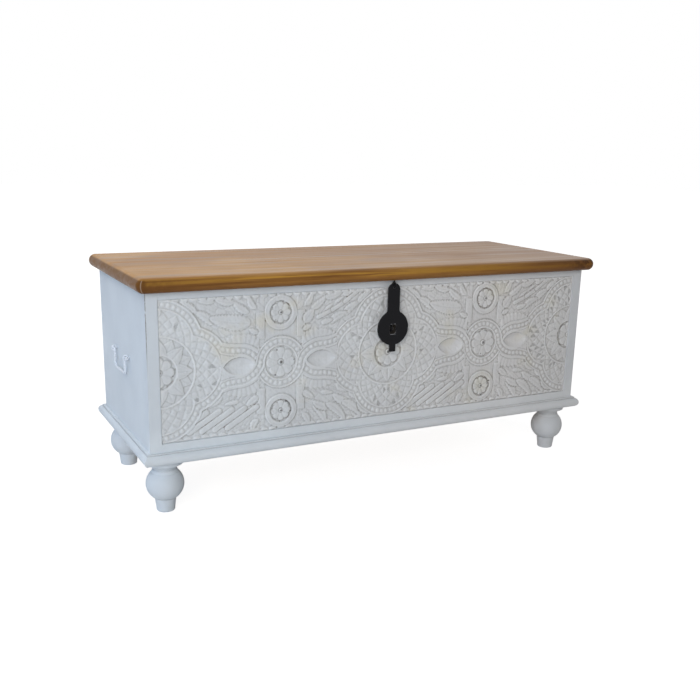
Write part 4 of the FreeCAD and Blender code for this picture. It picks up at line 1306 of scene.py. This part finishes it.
class Lamp(NamedTuple):
    """A square soft lamp: its name, its place and width in metres, its power in watts and its colour."""

    name: str
    place: tuple[float, float, float]
    size: float
    power: float
    colour: Colour = (1.0, 1.0, 1.0)

    def hang(self) -> None:
        """Hang the lamp so that it looks at the trunk and leaves no glare on it."""
        data = bpy.data.lights.new(self.name, "AREA")
        data.size, data.energy, data.color = self.size, self.power, self.colour
        lamp = bpy.data.objects.new(self.name, data)
        lamp.location = self.place
        lamp.visible_glossy = False
        target = 0.5 * (cad_box[0] + cad_box[1])
        lamp.rotation_euler = (target - Vector(self.place)).to_track_quat("-Z", "Y").to_euler()
        bpy.context.scene.collection.objects.link(lamp)


@dataclass
class Studio:
    """A pale floor, soft lamps and the camera at the photograph's place. Lengths are in metres."""

    eye: tuple[float, float, float] = (-0.9956, -1.8948, 0.7564)
    yaw: float = 28.198
    pitch: float = 14.937
    roll: float = 1.393
    lens: float = 45.45
    shift: tuple[float, float] = (-0.0066, 0.0486)
    floor_size: float = 30.0
    room_light: float = 0.165
    lamps: tuple[Lamp, ...] = (
        Lamp("window", (-2.2, -3.05, 1.65), 1.86, 65.5),
        Lamp("left_sky", (-3.0, -0.8, 1.2), 2.0, 12.0, (0.22, 0.52, 1.0)),
        Lamp("ceiling", (-1.2, 0.4, 1.9), 1.0, 7.0),
        Lamp("back_fill", (-0.9, 3.2, 1.7), 2.2, 32.0),
        Lamp("right_fill", (3.2, 0.7, 1.4), 2.0, 20.0),
    )

    def camera(self) -> None:
        """Place the camera as the photograph was taken."""
        data = bpy.data.cameras.new("camera")
        data.lens = self.lens
        data.shift_x, data.shift_y = self.shift
        yaw, pitch, roll = (math.radians(a) for a in (self.yaw, self.pitch, self.roll))
        ahead = Vector((math.sin(yaw) * math.cos(pitch), math.cos(yaw) * math.cos(pitch), -math.sin(pitch)))
        level = Vector((math.cos(yaw), -math.sin(yaw), 0.0))
        above = level.cross(ahead)
        right = level * math.cos(roll) + above * math.sin(roll)
        up = above * math.cos(roll) - level * math.sin(roll)
        camera = bpy.data.objects.new("camera", data)
        turn = Matrix((right, up, -ahead)).transposed().to_4x4()
        camera.matrix_world = Matrix.Translation(self.eye) @ turn
        bpy.context.scene.collection.objects.link(camera)
        bpy.context.scene.camera = camera

    def seen(self, graph: Graph) -> Socket:
        """Find the rays that should meet a white background.

        Args:
            graph: The material's or world's graph.

        Returns:
            1 for camera, glossy and transmitted rays.
        """
        path = graph.add("ShaderNodeLightPath", {})
        glossy = graph.calc("ADD", path.outputs["Is Camera Ray"], path.outputs["Is Glossy Ray"])
        return graph.calc("ADD", glossy, path.outputs["Is Transmission Ray"])

    def floor(self) -> None:
        """Lay a pale floor that keeps a soft shadow."""
        half = 0.5 * self.floor_size
        mesh = bpy.data.meshes.new("floor")
        corners = [(-half, -half, 0), (half, -half, 0), (half, half, 0), (-half, half, 0)]
        mesh.from_pydata(corners, [], [(0, 1, 2, 3)])
        floor = bpy.data.objects.new("floor", mesh)
        bpy.context.scene.collection.objects.link(floor)
        graph = Finish("pale_floor")
        graph.shade({"Base Color": (0.80, 0.80, 0.80, 1.0), "Roughness": 0.9})
        away = graph.add("ShaderNodeVectorMath", {0: graph.spot}, operation="LENGTH").outputs["Value"]
        level = graph.span(away, (1.0, 4.0), (0.88, 1.0))
        glow = graph.add("ShaderNodeEmission", {"Color": (1, 1, 1, 1), "Strength": level})
        matt = graph.add("ShaderNodeBsdfDiffuse", {"Color": (0.40, 0.40, 0.40, 1)})
        both = graph.add("ShaderNodeAddShader", {0: matt.outputs[0], 1: glow.outputs[0]})
        choice = graph.add("ShaderNodeMixShader", {0: self.seen(graph), 1: graph.shader.outputs[0],
                                                   2: both.outputs[0]})
        graph.feed(graph.output.inputs["Surface"], choice.outputs[0])
        mesh.materials.append(graph.material)

    def world(self) -> None:
        """Light the room softly and keep its backdrop white."""
        world = bpy.data.worlds.new("room")
        graph = Graph(world)
        white = graph.add("ShaderNodeBackground", {"Color": (1.0, 1.0, 1.0, 1.0)})
        soft = graph.add("ShaderNodeBackground", {"Color": (0.96, 0.98, 1.0, 1.0),
                                                  "Strength": self.room_light})
        choice = graph.add("ShaderNodeMixShader", {0: self.seen(graph), 1: soft.outputs[0],
                                                   2: white.outputs[0]})
        graph.add("ShaderNodeOutputWorld", {"Surface": choice.outputs[0]})
        bpy.context.scene.world = world

    def build(self) -> None:
        """Set the stage, the lamps and the camera."""
        bpy.context.scene.view_settings.view_transform = "Standard"
        self.world()
        self.floor()
        for lamp in self.lamps:
            lamp.hang()
        self.camera()


def main() -> None:
    """Build the trunk's finishes, its carving and its studio."""
    logging.basicConfig(level=logging.INFO)
    for part in (Dressing(), CarvedFront()):
        for piece in part.build():
            log.info("%s: %d faces", piece.name, len(piece.data.polygons))
    Studio().build()


if __name__ == "__main__":
    main()
